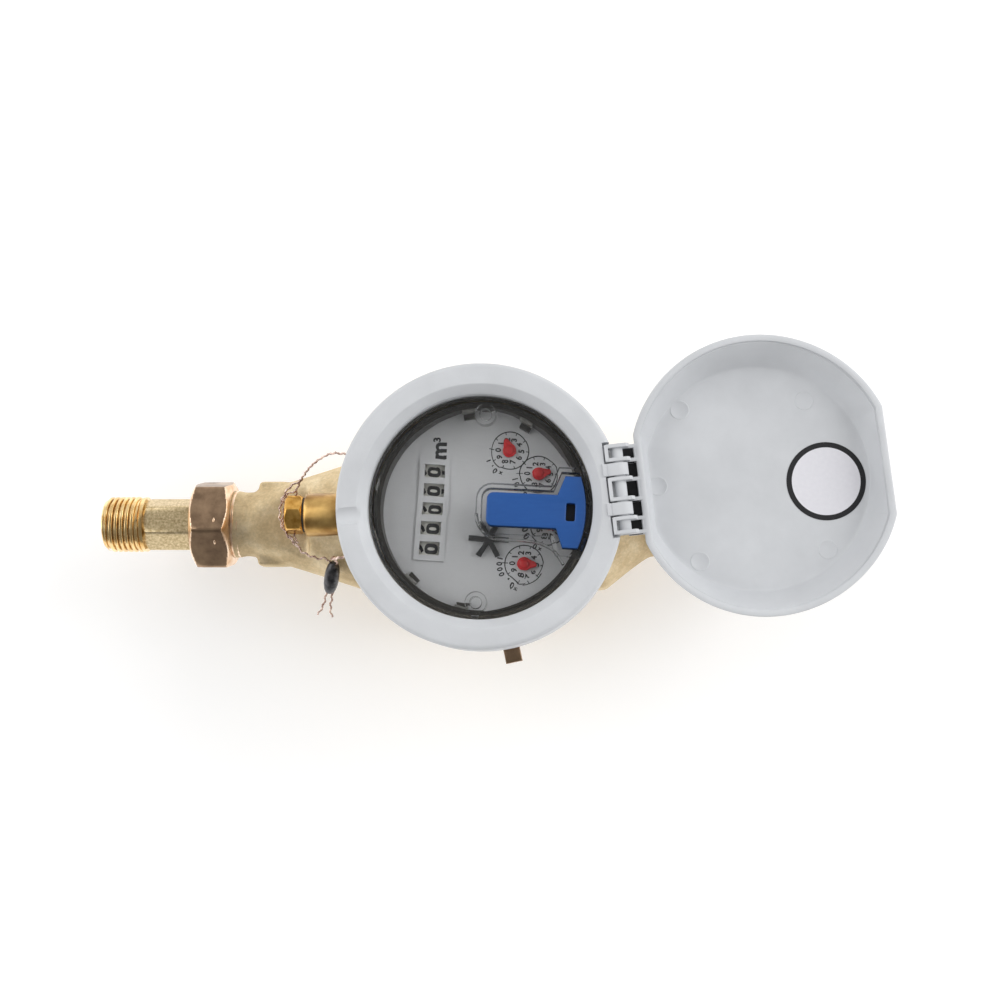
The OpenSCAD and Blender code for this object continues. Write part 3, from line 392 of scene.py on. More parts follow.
# A thread as one ridge that winds along Z: a trapezoid with rounded corners swept along a helix.
thread_tree = bpy.data.node_groups.new("screw_thread", "GeometryNodeTree")
asked = with_inputs(thread_tree, (("Turns", "Float", 8), ("Pitch", "Float", thread_pitch * mm),
                                  ("Start Radius", "Float", 0.01), ("End Radius", "Float", 0.01),
                                  ("Depth", "Float", thread_depth * mm), ("Finish", "Material", None)))
height = put(thread_tree, "ShaderNodeMath", {0: asked["Turns"], 1: asked["Pitch"]}, operation="MULTIPLY")
helix = put(thread_tree, "GeometryNodeCurveSpiral", {"Resolution": 56, "Rotations": asked["Turns"],
                                                     "Height": height.outputs[0],
                                                     "Start Radius": asked["Start Radius"],
                                                     "End Radius": asked["End Radius"]})
upright = put(thread_tree, "GeometryNodeSetCurveNormal", {"Curve": helix.outputs[0]}, mode="Z_UP")
root_width = put(thread_tree, "ShaderNodeMath", {0: asked["Pitch"], 1: 0.98}, operation="MULTIPLY")
crest_width = put(thread_tree, "ShaderNodeMath", {0: asked["Pitch"], 1: 0.42}, operation="MULTIPLY")
ridge = put(thread_tree, "GeometryNodeCurvePrimitiveQuadrilateral",
            {"Bottom Width": root_width.outputs[0], "Top Width": crest_width.outputs[0], "Height": asked["Depth"],
             "Offset": 0.0}, mode="TRAPEZOID")
rounded = put(thread_tree, "GeometryNodeFilletCurve", {"Curve": ridge.outputs[0], "Count": 3, "Radius": 0.3 * mm,
                                                       "Limit Radius": True}, mode="POLY")
sideways = put(thread_tree, "GeometryNodeTransform", {"Geometry": rounded.outputs[0], "Rotation": (0, 0, math.pi / 2)})
along = put(thread_tree, "GeometryNodeSplineParameter")
run_in = put(thread_tree, "ShaderNodeMapRange", {0: along.outputs["Factor"], 1: 0.0, 2: 0.05, 3: 0.25, 4: 1.0})
run_out = put(thread_tree, "ShaderNodeMapRange", {0: along.outputs["Factor"], 1: 0.9, 2: 1.0, 3: 1.0, 4: 0.05})
fade = put(thread_tree, "ShaderNodeMath", {0: run_in.outputs[0], 1: run_out.outputs[0]}, operation="MULTIPLY")
swept = put(thread_tree, "GeometryNodeCurveToMesh", {"Curve": upright.outputs[0], "Profile Curve": sideways.outputs[0],
                                                     "Scale": fade.outputs[0], "Fill Caps": True})
rolled = put(thread_tree, "GeometryNodeSetShadeSmooth", {"Geometry": swept.outputs[0]})
real = put(thread_tree, "GeometryNodeRealizeInstances", {"Geometry": rolled.outputs[0]})
coated = put(thread_tree, "GeometryNodeSetMaterial", {"Geometry": real.outputs[0], "Material": asked["Finish"]})
put(thread_tree, "NodeGroupOutput", {"Geometry": coated.outputs[0]})


def grown(name, tree, values):
    # The plain mesh that a node tree gives for these named inputs
    carrier = shown(name, bpy.data.meshes.new(name))
    modifier = carrier.modifiers.new("nodes", "NODES")
    modifier.node_group = tree
    for item in tree.interface.items_tree:
        if item.in_out == "INPUT" and item.name in values:
            modifier[item.identifier] = values[item.name]
    mesh = bpy.data.meshes.new_from_object(carrier.evaluated_get(bpy.context.evaluated_depsgraph_get()))
    bpy.data.objects.remove(carrier)
    return mesh


def lathe(bm, profile, segments):
    # profile: (radius, height) round a closed section
    rows = [[polar(bm, r, 2 * math.pi * k / segments, z) for k in range(segments)] for r, z in profile]
    bridge(bm, rows + rows[:1])


def lathed(name, profile, segments, sharp):
    bm = bmesh.new()
    lathe(bm, profile, segments)
    return turned_mesh(name, bm, sharp)


# Bright turned brass: warm gold with fine rings from the tool, a little tarnish in the grooves.
thread_gold = mottled("bright_turned_brass", 5, 4, "#C9A062", "#F6DDA8", 0.24, 1, (0.3, 0.72))
tree = thread_gold.node_tree
place = put(tree, "ShaderNodeTexCoord")
rings = put(tree, "ShaderNodeTexWave", {"Vector": place.outputs["Object"], "Scale": 1 / 0.0016, "Distortion": 0.4},
            bands_direction="X")
bump = put(tree, "ShaderNodeBump", {"Height": rings.outputs["Fac"], "Strength": 0.06, "Distance": 0.02 * mm})
tree.links.new(bump.outputs[0], tree.nodes["Principled BSDF"].inputs["Normal"])

# Drawn hexagon bar, blasted on its flats: dull sandy olive, grainy.
bar_brass = mottled("blasted_brass_bar", 0.9, 4, "#A48E66", "#E2CFA8", 0.42, 1, (0.34, 0.68), grain=0.7,
                    relief=(0.4, 0.08))

shoulder = tail_thread_start - 1.2
root = tail_thread_radius - thread_depth
ridge_middle = root + thread_depth / 2
for name, face, sign in (("inlet_tailpiece", inlet_face, -1), ("outlet_tailpiece", outlet_face, 1)):
    flange = lathed("flange", [(tail_bore, 2), (flange_radius, 2), (flange_radius, 5), (tail_bore, 5)], 64, 30)
    bm = bmesh.new()
    turned_hexagon(bm, tail_flats, [(tail_hex_start, uncut), (tail_hex_start + 4, uncut), (shoulder, uncut)]
                   + [(shoulder + 0.12 * i, 10.3 - 0.09 * i) for i in range(1, 11)],
                   [(tail_thread_start, tail_bore), (tail_hex_start, tail_bore)], tail_turn)
    bar = turned_mesh("bar", bm, 35)
    core = lathed("core", [(tail_bore, tail_thread_start), (root + 0.75, tail_thread_start),
                           (root + 0.8, tail_thread_start + 0.3), (root + 0.7, tail_thread_start + 1.4),
                           (root, tail_thread_start + 2.2), (root - 0.35, tail_end - 0.6),
                           (root - 0.6, tail_end - 0.2), (root - 1.0, tail_end), (tail_bore + 0.5, tail_end),
                           (tail_bore, tail_end - 0.5)], 96, 30)
    turns = (tail_end - tail_thread_start - 3.2) / thread_pitch
    ridge = grown("ridge", thread_tree, {"Turns": turns, "Start Radius": (ridge_middle - 0.02) * mm,
                                         "End Radius": (ridge_middle - 0.2) * mm, "Finish": thread_gold})
    ridge.transform(moved(0, 0, tail_thread_start + 2.0))
    tail = joined(name + "_turned", [(on_pipe(mesh, face, sign), finish)
                                     for mesh, finish in ((flange, 0), (bar, 1), (core, 0), (ridge, 0))],
                  thread_gold, bar_brass)
    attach(tail, "meter")
    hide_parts(name)
    # The spigot's own thread shows for about three millimetres behind the nut
    spigot_middle = (spigot_radius - spigot_depth / 2) * mm
    ridge = grown("ridge", thread_tree, {"Turns": 6.6, "Start Radius": spigot_middle, "End Radius": spigot_middle,
                                         "Depth": spigot_depth * mm, "Finish": bared_brass})
    ridge.transform(moved(0, 0, -12.3))
    spigot = joined(name.replace("tailpiece", "spigot_thread"), [(on_pipe(ridge, face, sign), 0)], bared_brass)
    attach(spigot, "meter")

# Gaskets, strainer and measuring insert: rubber rings, and white mouldings that sit in the well under the register.
# They are fixed inside the casting and stay as the solids they are.
def coat(material, *nodes):
    for node in nodes:
        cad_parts[node].data.materials.clear()
        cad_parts[node].data.materials.append(material)


# Rubber: dull black, dusty. Acetal: warm white, satin. Ground steel: bright, with a fine grain.
rubber = mottled("black_nitrile_rubber", 2, 3, "#1D1C1A", "#3B3833", 0.7)
white_moulding = mottled("white_acetal_moulding", 8, 3, "#D9D7CF", "#EFEEE8", 0.4)
steel = mottled("ground_stainless_steel", 0.8, 2, "#8E9092", "#C9CBCC", 0.3, 1)
coat(rubber, "inlet_gasket", "outlet_gasket", "regulator_washer")
coat(white_moulding, "inlet_strainer", "chamber_cup", "impeller", "chamber_cover", "register_base", "register_top")
coat(thread_gold, "regulator_screw", "star_arbor", "arbor_1", "arbor_2", "arbor_3", "arbor_4", "idler_1", "idler_2",
     "idler_3")
coat(steel, "pivot_pin", "plate_screws", "roller_shaft")

# Regulator boss: the turned stub of the casting that the plug screws in, smoother and browner than the cast skin.
# It is one with the body; only its skin is made here, a sleeve with a rounded front edge.
boss_radius, boss_bore, boss_length = 8.3, 4, 24
boss_brass = mottled("turned_boss_brass", 7, 4, "#94703E", "#CDA868", 0.34, 1, (0.36, 0.66))
mesh = lathed("regulator_boss_turned", [(boss_bore, 0), (boss_radius - 1.4, 0), (boss_radius - 0.5, 0.3),
                                        (boss_radius, 1.2), (boss_radius, boss_length), (boss_bore, boss_length)],
              64, 45)
mesh.transform(moved(-69.3, 1.6, 57) @ spun(90, "Y"))
boss = shown("regulator_boss_turned", mesh, boss_brass)
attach(boss, "meter")

# Regulator plug: a short hexagon of brass on a black washer, drilled across for the seal wire.
# It was screwed in with a spanner, so its corners are rubbed. Its brass is orange and glossy.
plug_flats, plug_length, plug_turn = 13.6, 6.5, math.radians(-19.4)
plug_brass = mottled("orange_turned_brass", 3, 4, "#A87830", "#E8B866", 0.3, 1, (0.3, 0.7))
bm = bmesh.new()
turned_hexagon(bm, plug_flats, chamfered(plug_length, 0.7, 1.1, 6.75, 1.1),
               [(plug_length, 1.2), (5.6, 0.9), (5.6, 0.2), (0, 0.2)], plug_turn)
lathe(bm, [(0.1, 0), (4.98, 0), (4.98, -6), (0.1, -6)], 48)
mesh = turned_mesh("regulator_plug_turned", bm, 35)
mesh.transform(moved(-70, 1.6, 57) @ spun(-90, "Y"))
regulator = shown("regulator_plug_turned", mesh, plug_brass)
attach(regulator, "meter")
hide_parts("regulator_plug")

# Number rollers: five white drums on one shaft under the dial, with black digits printed round each rim.
# The digits are read through the windows from the front of the dial, so they stand across the drums.
register_turn = spun(-2.7)
roller_radius, roller_spacing = 8.6 * mm, 7.2 * mm
roller_at = (-18.4 * mm, 73.9 * mm)
digit_height, digit_weight, digit_breadth = 4.75 * mm, 0.27 * mm, 1.12
digit_step, squareness = 36, 0.35
capital_share = 0.73


def letters(text, height, weight):
    # Flat lettering as a mesh, centred, with its up along +Y; weight thickens the strokes
    font = bpy.data.curves.new("letters", "FONT")
    font.body = text
    font.size = height / capital_share
    font.offset = weight
    font.align_x = "CENTER"
    font.align_y = "CENTER"
    font.resolution_u = 4
    carrier = bpy.data.objects.new("letters", font)
    scene.collection.objects.link(carrier)
    mesh = bpy.data.meshes.new_from_object(carrier.evaluated_get(bpy.context.evaluated_depsgraph_get()))
    bpy.data.objects.remove(carrier)
    xs = [v.co.x for v in mesh.vertices]
    ys = [v.co.y for v in mesh.vertices]
    mesh.transform(Matrix.Translation((-(min(xs) + max(xs)) / 2, -(min(ys) + max(ys)) / 2, 0)))
    return mesh


# Printing ink: matt black, a touch uneven.
ink = mottled("black_printing_ink", 1.2, 2, "#0B0B0D", "#222226", 0.55)

coat(white_moulding, "roller_1", "roller_2", "roller_3", "roller_4", "roller_5")
for roller, slip in enumerate((-3.3, -2.3, 4.0, 3.8, 3.8)):
    across = (2 - roller) * roller_spacing
    out = roller_radius + 0.03 * mm
    bm = bmesh.new()
    for digit in range(10):
        glyph = letters(str(digit), digit_height, digit_weight)
        part = bmesh.new()
        part.from_mesh(glyph)
        for cut in range(-6, 7):
            bmesh.ops.bisect_plane(part, geom=part.verts[:] + part.edges[:] + part.faces[:], dist=0.0001 * mm,
                                   plane_co=(0, cut * 0.38 * mm, 0), plane_no=(0, 1, 0))
        for v in part.verts:
            v.co.x *= 1 + squareness * (2 * v.co.y / digit_height) ** 2
            round_it = v.co.y / roller_radius - math.radians(digit_step * digit + slip)
            v.co = Vector((roller_at[0] - out * math.sin(round_it), across + v.co.x * digit_breadth,
                           roller_at[1] + out * math.cos(round_it)))
        part.to_mesh(glyph)
        part.free()
        bm.from_mesh(glyph)
    mesh = meshed("roller_digits", bm)
    mesh.transform(register_turn)
    digits = shown("roller_%d_digits" % (roller + 1), mesh, ink)
    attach(digits, "roller_%d" % (roller + 1))

# Dial: a thin plate printed in silver grey, with five windows in a raised frame and four small scales.
# Each scale has a ring, ten ticks and the digits 0 to 9; its multiplier runs round it.
print_z = 84.33
scale_radius, scale_line_half, scale_digits_at = 6.9, 0.2, 4.25
factor_from, factor_step = 252, 13
scale_places = [(8.97, 23.12), (19.83, 14.89), (24.41, -4.39), (16.27, -18.72)]
reading_up = spun(90)

# Silver screen print on metal: light grey, satin, with a faint brushed grain along the plate.
silver_print = mottled("silver_printed_plate", 2.2, 3, "#D0D0D3", "#DADADD", 0.42, 0.1, (0.25, 0.75), drag=(1, 14, 1))
coat(silver_print, "dial")

# Ticks: thin printed bars spread on a circle, each pointing at its centre.
tick_tree = bpy.data.node_groups.new("scale_ticks", "GeometryNodeTree")
asked = with_inputs(tick_tree, (("Radius", "Float", scale_radius * mm), ("Count", "Int", 10),
                                ("Length", "Float", 1.1 * mm), ("Width", "Float", 0.3 * mm),
                                ("Finish", "Material", None)))
spots = put(tick_tree, "GeometryNodeMeshCircle", {"Vertices": asked["Count"], "Radius": asked["Radius"]})
bar_size = put(tick_tree, "ShaderNodeCombineXYZ", {"X": asked["Length"], "Y": asked["Width"], "Z": 0.02 * mm})
bar = put(tick_tree, "GeometryNodeMeshCube", {"Size": bar_size.outputs[0]})
number = put(tick_tree, "GeometryNodeInputIndex")
share = put(tick_tree, "ShaderNodeMath", {0: number.outputs[0], 1: asked["Count"]}, operation="DIVIDE")
heading = put(tick_tree, "ShaderNodeMath", {0: share.outputs[0], 1: 2 * math.pi}, operation="MULTIPLY")
turned = put(tick_tree, "FunctionNodeAxisAngleToRotation", {"Axis": (0, 0, 1), "Angle": heading.outputs[0]})
placed = put(tick_tree, "GeometryNodeInstanceOnPoints", {"Points": spots.outputs[0], "Instance": bar.outputs[0],
                                                         "Rotation": turned.outputs[0]})
real = put(tick_tree, "GeometryNodeRealizeInstances", {"Geometry": placed.outputs[0]})
coated = put(tick_tree, "GeometryNodeSetMaterial", {"Geometry": real.outputs[0], "Material": asked["Finish"]})
put(tick_tree, "NodeGroupOutput", {"Geometry": coated.outputs[0]})

print_parts = []
for spot, factor in zip(scale_places, ("x0,1", "x0,01", "x0,001", "x0,0001")):
    centre = register_turn @ moved(*spot, print_z)
    ticks = grown("ticks", tick_tree, {"Radius": (scale_radius - 0.45) * mm, "Finish": ink})
    # The tick at zero is longer and crosses the ring: one of three, the other two are taken away
    zero = grown("zero_tick", tick_tree, {"Radius": scale_radius * mm, "Count": 3, "Length": 2.4 * mm, "Finish": ink})
    bm = bmesh.new()
    bm.from_mesh(zero)
    bmesh.ops.delete(bm, geom=[v for v in bm.verts if v.co.x < 0.5 * scale_radius * mm], context="VERTS")
    bm.to_mesh(zero)
    bm.free()
    zero.transform(spun(180))
    inner, outer = scale_radius - scale_line_half, scale_radius + scale_line_half
    line = lathed("scale_line", [(inner, 0), (outer, 0), (outer, 0.01), (inner, 0.01)], 96, 30)
    for mesh in (ticks, zero, line):
        mesh.transform(centre)
        print_parts.append((mesh, 0))
    for digit in range(10):
        a = math.pi - digit * math.pi / 5
        glyph = letters(str(digit), 2.1 * mm, 0.1 * mm)
        glyph.transform(centre @ moved(scale_digits_at * math.cos(a), scale_digits_at * math.sin(a)) @ reading_up)
        print_parts.append((glyph, 0))
    for k, sign in enumerate(factor):
        a = math.radians(factor_from - factor_step * k - (4 if k > 2 else 0))
        glyph = letters(sign, (1.5 if sign == "x" else 2.0) * mm, 0.1 * mm)
        out = scale_radius + (2.0 if sign != "," else 1.2)
        glyph.transform(centre @ moved(out * math.cos(a), out * math.sin(a)) @ Matrix.Rotation(a - math.pi / 2, 4, "Z"))
        print_parts.append((glyph, 0))
for sign, height, spot in (("m", 6.0 * mm, (-16.3, 22.0)), ("3", 2.8 * mm, (-18.0, 25.9))):
    glyph = letters(sign, height, 0.05 * height)
    glyph.transform(register_turn @ moved(*spot, print_z) @ reading_up)
    print_parts.append((glyph, 0))
dial_print = joined("dial_print", print_parts, ink)
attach(dial_print, "meter")

# Pointers and flow star: small mouldings pressed on the arbors just above the dial.
# The pointers are red with a domed hub and a short hand; the star is black with six bars and no hub.
hand_low, hand_high = 85.0, 85.9
star_at, star_reach, star_waist, star_bar_half = (3.108, -10.343), 7.2, 1.9, 0.95


def plate(name, outlines, low, high, edge):
    # A flat moulding from closed outlines (the first is the outside, the rest are holes), with its top edges rounded
    bm = bmesh.new()
    edges = []
    for outline in outlines:
        ring = [bm.verts.new((x * mm, y * mm, low * mm)) for x, y in outline]
        edges += [bm.edges.new((ring[i], ring[(i + 1) % len(ring)])) for i in range(len(ring))]
    bmesh.ops.triangle_fill(bm, use_beauty=True, edges=edges)
    bmesh.ops.dissolve_limit(bm, angle_limit=0.01, verts=bm.verts, edges=bm.edges)
    top = bmesh.ops.extrude_face_region(bm, geom=bm.faces[:])["geom"]
    bmesh.ops.translate(bm, verts=[g for g in top if isinstance(g, bmesh.types.BMVert)], vec=(0, 0, (high - low) * mm))
    bmesh.ops.recalc_face_normals(bm, faces=bm.faces)
    if edge:
        bm.normal_update()
        rim = [e for e in bm.edges if len(e.link_faces) == 2 and max(f.normal.z for f in e.link_faces) > 0.9
               and abs(min(f.normal.z for f in e.link_faces)) < 0.3]
        bmesh.ops.bevel(bm, geom=rim, offset=edge * mm, segments=3, profile=0.5, affect="EDGES", clamp_overlap=True)
    return meshed(name, bm, 32)


def arc(x, y, radius, start, end, count):
    return [(x + radius * math.cos(math.radians(start + (end - start) * i / count)),
             y + radius * math.sin(math.radians(start + (end - start) * i / count))) for i in range(count + 1)]


# Moulded acetal in signal red: glossy, slightly translucent, with a faint flow pattern.
red_moulding = mottled("red_acetal_moulding", 1.5, 3, "#CA0A14", "#E6141E", 0.32)
paint = red_moulding.node_tree.nodes["Principled BSDF"]
paint.inputs["Subsurface Weight"].default_value = 0.08
paint.inputs["Subsurface Radius"].default_value = (0.001, 0.0003, 0.0002)
hand_outline = arc(0, 0, 2.5, 45, 315, 28) + arc(3.5, 0, 1.0, -70, 70, 8)
for i, (spot, heading) in enumerate(zip(scale_places, (115, 11, 93, 0))):
    flat = plate("hand", [hand_outline], hand_low, hand_high, 0.28)
    hub = lathed("hub", [(0.05, hand_high - 0.2), (1.9, hand_high - 0.2), (1.85, hand_high + 0.15),
                         (1.5, hand_high + 0.5), (0.9, hand_high + 0.68), (0.05, hand_high + 0.74)], 40, 50)
    for mesh in (flat, hub):
        mesh.transform(register_turn @ moved(*spot) @ spun(heading))
    hand = joined("pointer_%d_moulded" % (i + 1), [(flat, 0), (hub, 0)], red_moulding)
    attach(hand, "pointer_%d" % (i + 1))
    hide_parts("pointer_%d" % (i + 1))

# Black acetal, moulded with a fine matt skin. The same black stands as painted shade in the slot of the blanking plug
# and under the hinge loops of the lid.
black_moulding_and_painted_shade = mottled("black_acetal_and_painted_shade", 0.7, 3, "#121214", "#2B2B2E", 0.45)
star_outline = []
for arm in range(6):
    a = math.radians(60 * arm)
    star_outline.append((star_waist * math.cos(a - math.pi / 6), star_waist * math.sin(a - math.pi / 6)))
    for side in (-star_bar_half, star_bar_half):
        star_outline.append((star_reach * math.cos(a) - side * math.sin(a),
                             star_reach * math.sin(a) + side * math.cos(a)))
mesh = plate("flow_star_moulded", [star_outline], hand_low, hand_high + 0.5, 0.2)
mesh.transform(register_turn @ moved(*star_at))
star = shown("flow_star_moulded", mesh, black_moulding_and_painted_shade)
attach(star, "star")
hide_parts("flow_star")

# Dial wall: a dark brown moulded hoop between the dial and the glass, with four milky clips that hold the dial down.
# Above it lies the gasket of the glass, brown rubber, seen as a narrow dusty band.
wall_brown = mottled("dark_brown_moulding", 6, 4, "#15120E", "#2C261E", 0.4)
dusty_rubber = mottled("dusty_brown_rubber", 6, 4, "#5A5246", "#7C7364", 0.7)
milky = mottled("milky_polypropylene", 2, 2, "#6B6A66", "#8F8E8A", 0.35)
coat(wall_brown, "dial_wall")
coat(dusty_rubber, "glass_gasket")


def oblong(x0, x1, half, middle=0):
    return [(x0, middle - half), (x1, middle - half), (x1, middle + half), (x0, middle + half)]


clip_parts = []
for angle in (63, 97, 225, 259):
    for low, high, start, end, half, finish in ((84.3, 87.4, 33.6, 36.5, 2.1, 1), (87.4, 91.9, 35.3, 36.5, 2.6, 0)):
        block = plate("clip", [oblong(start, end, half)], low, high, 0.35)
        block.transform(spun(angle))
        clip_parts.append((block, finish))
clips = joined("dial_clips", clip_parts, milky, wall_brown)
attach(clips, "meter")

# Head glass: one clear moulding with a rim, a domed window, two bosses and an open pocket for a sensor.
# It is clear and polished, so only its edges, the pocket wall and reflections show.
def clear_finish(name, colour):
    # Clear plastic that casts only a faint shadow on what lies under it
    material, tree, paint = new_finish(name)
    paint.inputs["Base Color"].default_value = linear(colour)
    paint.inputs["Transmission Weight"].default_value = 1
    paint.inputs["IOR"].default_value = 1.49
    paint.inputs["Specular IOR Level"].default_value = 0.25
    kinds = put(tree, "ShaderNodeLightPath")
    let_through = put(tree, "ShaderNodeMapRange", {0: kinds.outputs["Is Shadow Ray"], 3: 1.0, 4: 0.12})
    tree.links.new(let_through.outputs[0], paint.inputs["Alpha"])
    return material, tree, paint


# Polycarbonate: clear, glossy, a little dulled by wear.
clear_glass, tree, paint = clear_finish("clear_moulded_polycarbonate", "#FBFCFB")
place = put(tree, "ShaderNodeTexCoord")
wear = put(tree, "ShaderNodeTexNoise", {"Vector": place.outputs["Object"], "Scale": 1 / 0.009, "Detail": 4})
dull = put(tree, "ShaderNodeMapRange", {0: wear.outputs["Fac"], 1: 0.45, 2: 0.75, 3: 0.01, 4: 0.05})
tree.links.new(dull.outputs[0], paint.inputs["Roughness"])

# Walls of the same moulding that stand upright: tinted grey, a painted shade for the dark lines that the edges of clear
# plastic show.
glass_edge_painted_shade, tree, paint = clear_finish("clear_polycarbonate_edge_painted_shade", "#7A7C78")
paint.inputs["Roughness"].default_value = 0.04

bm = bmesh.new()
bm.from_mesh(merged_copy("glass", "glass"))
bmesh.ops.dissolve_limit(bm, angle_limit=math.radians(1), verts=bm.verts, edges=bm.edges)
crisp = [e for e in bm.edges if len(e.link_faces) == 2 and e.calc_face_angle() > math.radians(40)]
bmesh.ops.bevel(bm, geom=crisp, offset=0.4 * mm, segments=3, profile=0.5, affect="EDGES", clamp_overlap=True)
mesh = turned_mesh("glass_moulded", bm, 30)


def smooth_route(route, steps):
    points = [Vector(p) * mm for p in route]
    line = []
    for i in range(len(points) - 1):
        a, b, c, d = points[max(i - 1, 0)], points[i], points[i + 1], points[min(i + 2, len(points) - 1)]
        for k in range(steps):
            t = k / steps
            line.append(0.5 * (2 * b + (c - a) * t + (2 * a - 5 * b + 4 * c - d) * t * t
                               + (3 * b - a - 3 * c + d) * t * t * t))
    return line + [points[-1]]


# A rib under the window follows the pocket at a distance and turns away to the rim on the near side.
rib_low, rib_high, rib_half = 95.0, 98.9, 0.5
rib_line = smooth_route([(-1.6, -2.2, 0), (-0.6, -6.8, 0), (3, -10.6, 0), (8.4, -11.7, 0), (15.6, -12.1, 0),
                         (21.4, -13.1, 0), (26.4, -15.9, 0), (29.6, -20.4, 0)], 6)
near_side, far_side = [], []
for i, point in enumerate(rib_line):
    ahead = (rib_line[min(i + 1, len(rib_line) - 1)] - rib_line[max(i - 1, 0)]).normalized()
    aside = Vector((-ahead.y, ahead.x)) * rib_half
    far_side.append((point.xy / mm + aside)[:])
    near_side.append((point.xy / mm - aside)[:])
rib = plate("pocket_rib", [far_side + near_side[::-1]], rib_low, rib_high, 0.3)
# The upright sides of the glass and of the rib take the grey tint, a painted shade.
for part in (mesh, rib):
    second_finish(part, lambda up: abs(up) < 0.5)
window = joined("glass_moulded", [(mesh, None), (rib, None)], clear_glass, glass_edge_painted_shade)
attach(window, "meter")
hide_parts("glass")

# Blanking plug: a T-shaped moulding in the pocket of the glass, with a square slot for the tool that lifts it out.
# Its polystyrene is deep blue, satin, with faint streaks along the stem.
plug_low, plug_high, slot_depth = 93.8, 101.4, 4
plug_start, plug_edge = 1.4, 36.8
stem_half, head_half, corner = 6.0, 12.8, 2.4
blue = mottled("blue_moulded_polystyrene", 4, 4, "#1C4F94", "#1F5398", 0.36, stops=(0.3, 0.75), drag=(1, 5, 1),
               relief=(0.05, 0.05))
wing = math.degrees(math.asin(head_half / plug_edge))
outline = (arc(plug_start + corner, stem_half - corner, corner, 90, 180, 8)
           + arc(plug_start + corner, corner - stem_half, corner, 180, 270, 8)
           + [(26.5, -stem_half), (29, -head_half)] + arc(0, 0, plug_edge, -wing, wing, 16)
           + [(29, head_half), (26.5, stem_half)])
slot_outline = (arc(32.4, 2.6, 0.6, 0, 90, 3) + arc(30.4, 2.6, 0.6, 90, 180, 3) + arc(30.4, -2.6, 0.6, 180, 270, 3)
                + arc(32.4, -2.6, 0.6, 270, 360, 3))
body_part = plate("plug_body", [outline, slot_outline], plug_low, plug_high, 0.45)
# The floor of the slot is black, a painted shade for the deep slot.
slot_floor_painted_shade = plate("slot_floor_painted_shade", [slot_outline], plug_low, plug_high - slot_depth, 0)
for mesh in (body_part, slot_floor_painted_shade):
    mesh.transform(register_turn @ moved(0.9, -0.5))
blanking = joined("blanking_plug_moulded", [(body_part, 0), (slot_floor_painted_shade, 1)], blue, black_moulding_and_painted_shade)
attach(blanking, "meter")
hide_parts("blanking_plug")

# Sealing peg: the square stub of the casting below the head ring, sawn off; its skin is darker and browner than the
# cast body.
# It is one with the body; only its skin is made here.
peg = plate("sealing_peg_sawn", [oblong(50.4, 56, 3.05)], 71.2, 77.2, 0.3)
peg.transform(spun(-78))
stub = shown("sealing_peg_sawn", peg, nut_brown)
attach(stub, "meter")

# Head ring: a heavy grey moulding screwed on the collar, with a bevelled opening, a finger notch and hinge bearings.
# It clamps the glass, and the wire of the seal goes into its side.
ring_radius, ring_low, ring_top = 51.0, 80.5, 107.0
opening, flat_from, ring_steps = 40.2, 43.4, 240
notch_angle, notch_radius, notch_depth, notch_steps = math.radians(184.7), 4.0, 1.35, 8
hinge_reach, hinge_z, room_back = 50.4, 104.5, 4.95
hinge_turn = spun(6.5)
hinge = hinge_turn @ moved(hinge_reach, 0, hinge_z)

# ABS, moulded in cool light grey: satin with a fine leathery skin, faint handling marks.
grey_abs = mottled("light_grey_moulded_abs", 22, 5, "#C5C7CA", "#CFD1D4", (0.48, 0.6), 0, (0.3, 0.7), grain=0.6)
tree = grey_abs.node_tree
paint = tree.nodes["Principled BSDF"]
paint.inputs["Specular IOR Level"].default_value = 0.35
place = put(tree, "ShaderNodeTexCoord")
leather = put(tree, "ShaderNodeTexNoise", {"Vector": place.outputs["Object"], "Scale": 1 / 0.0007, "Detail": 2})
bump = put(tree, "ShaderNodeBump", {"Height": leather.outputs["Fac"], "Strength": 0.1, "Distance": 0.03 * mm})
tree.links.new(bump.outputs[0], paint.inputs["Normal"])

section = ([(45.3, ring_low + 0.4), (45.7, ring_low), (ring_radius - 0.4, ring_low), (ring_radius, ring_low + 0.4)]
           + [(ring_radius, z) for z in (88, 96, 102)] + arc(ring_radius - 1.8, ring_top - 1.8, 1.8, 0, 90, 6)
           + [(47.5, ring_top), (45.5, ring_top), (flat_from + 0.25, ring_top), (flat_from + 0.02, ring_top - 0.06),
              (flat_from - 0.2, ring_top - 0.25), (42.2, 105.65), (41.2, 104.52), (opening + 0.15, ring_top - 3.45),
              (opening, ring_top - 3.75), (opening, 97.3), (43.7, 97.3), (43.7, 90.6), (45.3, 90.6)])
notch_half = math.sqrt(notch_radius ** 2 - (notch_radius - notch_depth) ** 2)
around = [notch_angle + 2 * math.pi * k / ring_steps for k in range(4, ring_steps - 3)]
bm = bmesh.new()
rows = []
for r, z in section:
    row = []
    for step in range(-notch_steps, notch_steps + 1):
        off = notch_half * step / notch_steps
        floor_z = ring_top + notch_radius - notch_depth - math.sqrt(notch_radius ** 2 - off ** 2)
        row.append(polar(bm, r, notch_angle + math.asin(off / r), min(z, floor_z)))
    rows.append(row + [polar(bm, r, a, z) for a in around])
bridge(bm, rows + rows[:1])
ring = shown("head_ring_moulded", turned_mesh("head_ring_moulded", bm, 35), grey_abs)
room = plate("hinge_room", [oblong(-room_back, 9, 17)], -5.9, 9, 0)
room.transform(hinge)
cutter = shown("hinge_room", room)
pocket = ring.modifiers.new("hinge_room", "BOOLEAN")
pocket.operation = "DIFFERENCE"
pocket.object = cutter
pocket.solver = "EXACT"
baked(ring)
bpy.data.objects.remove(cutter)
bearings = []
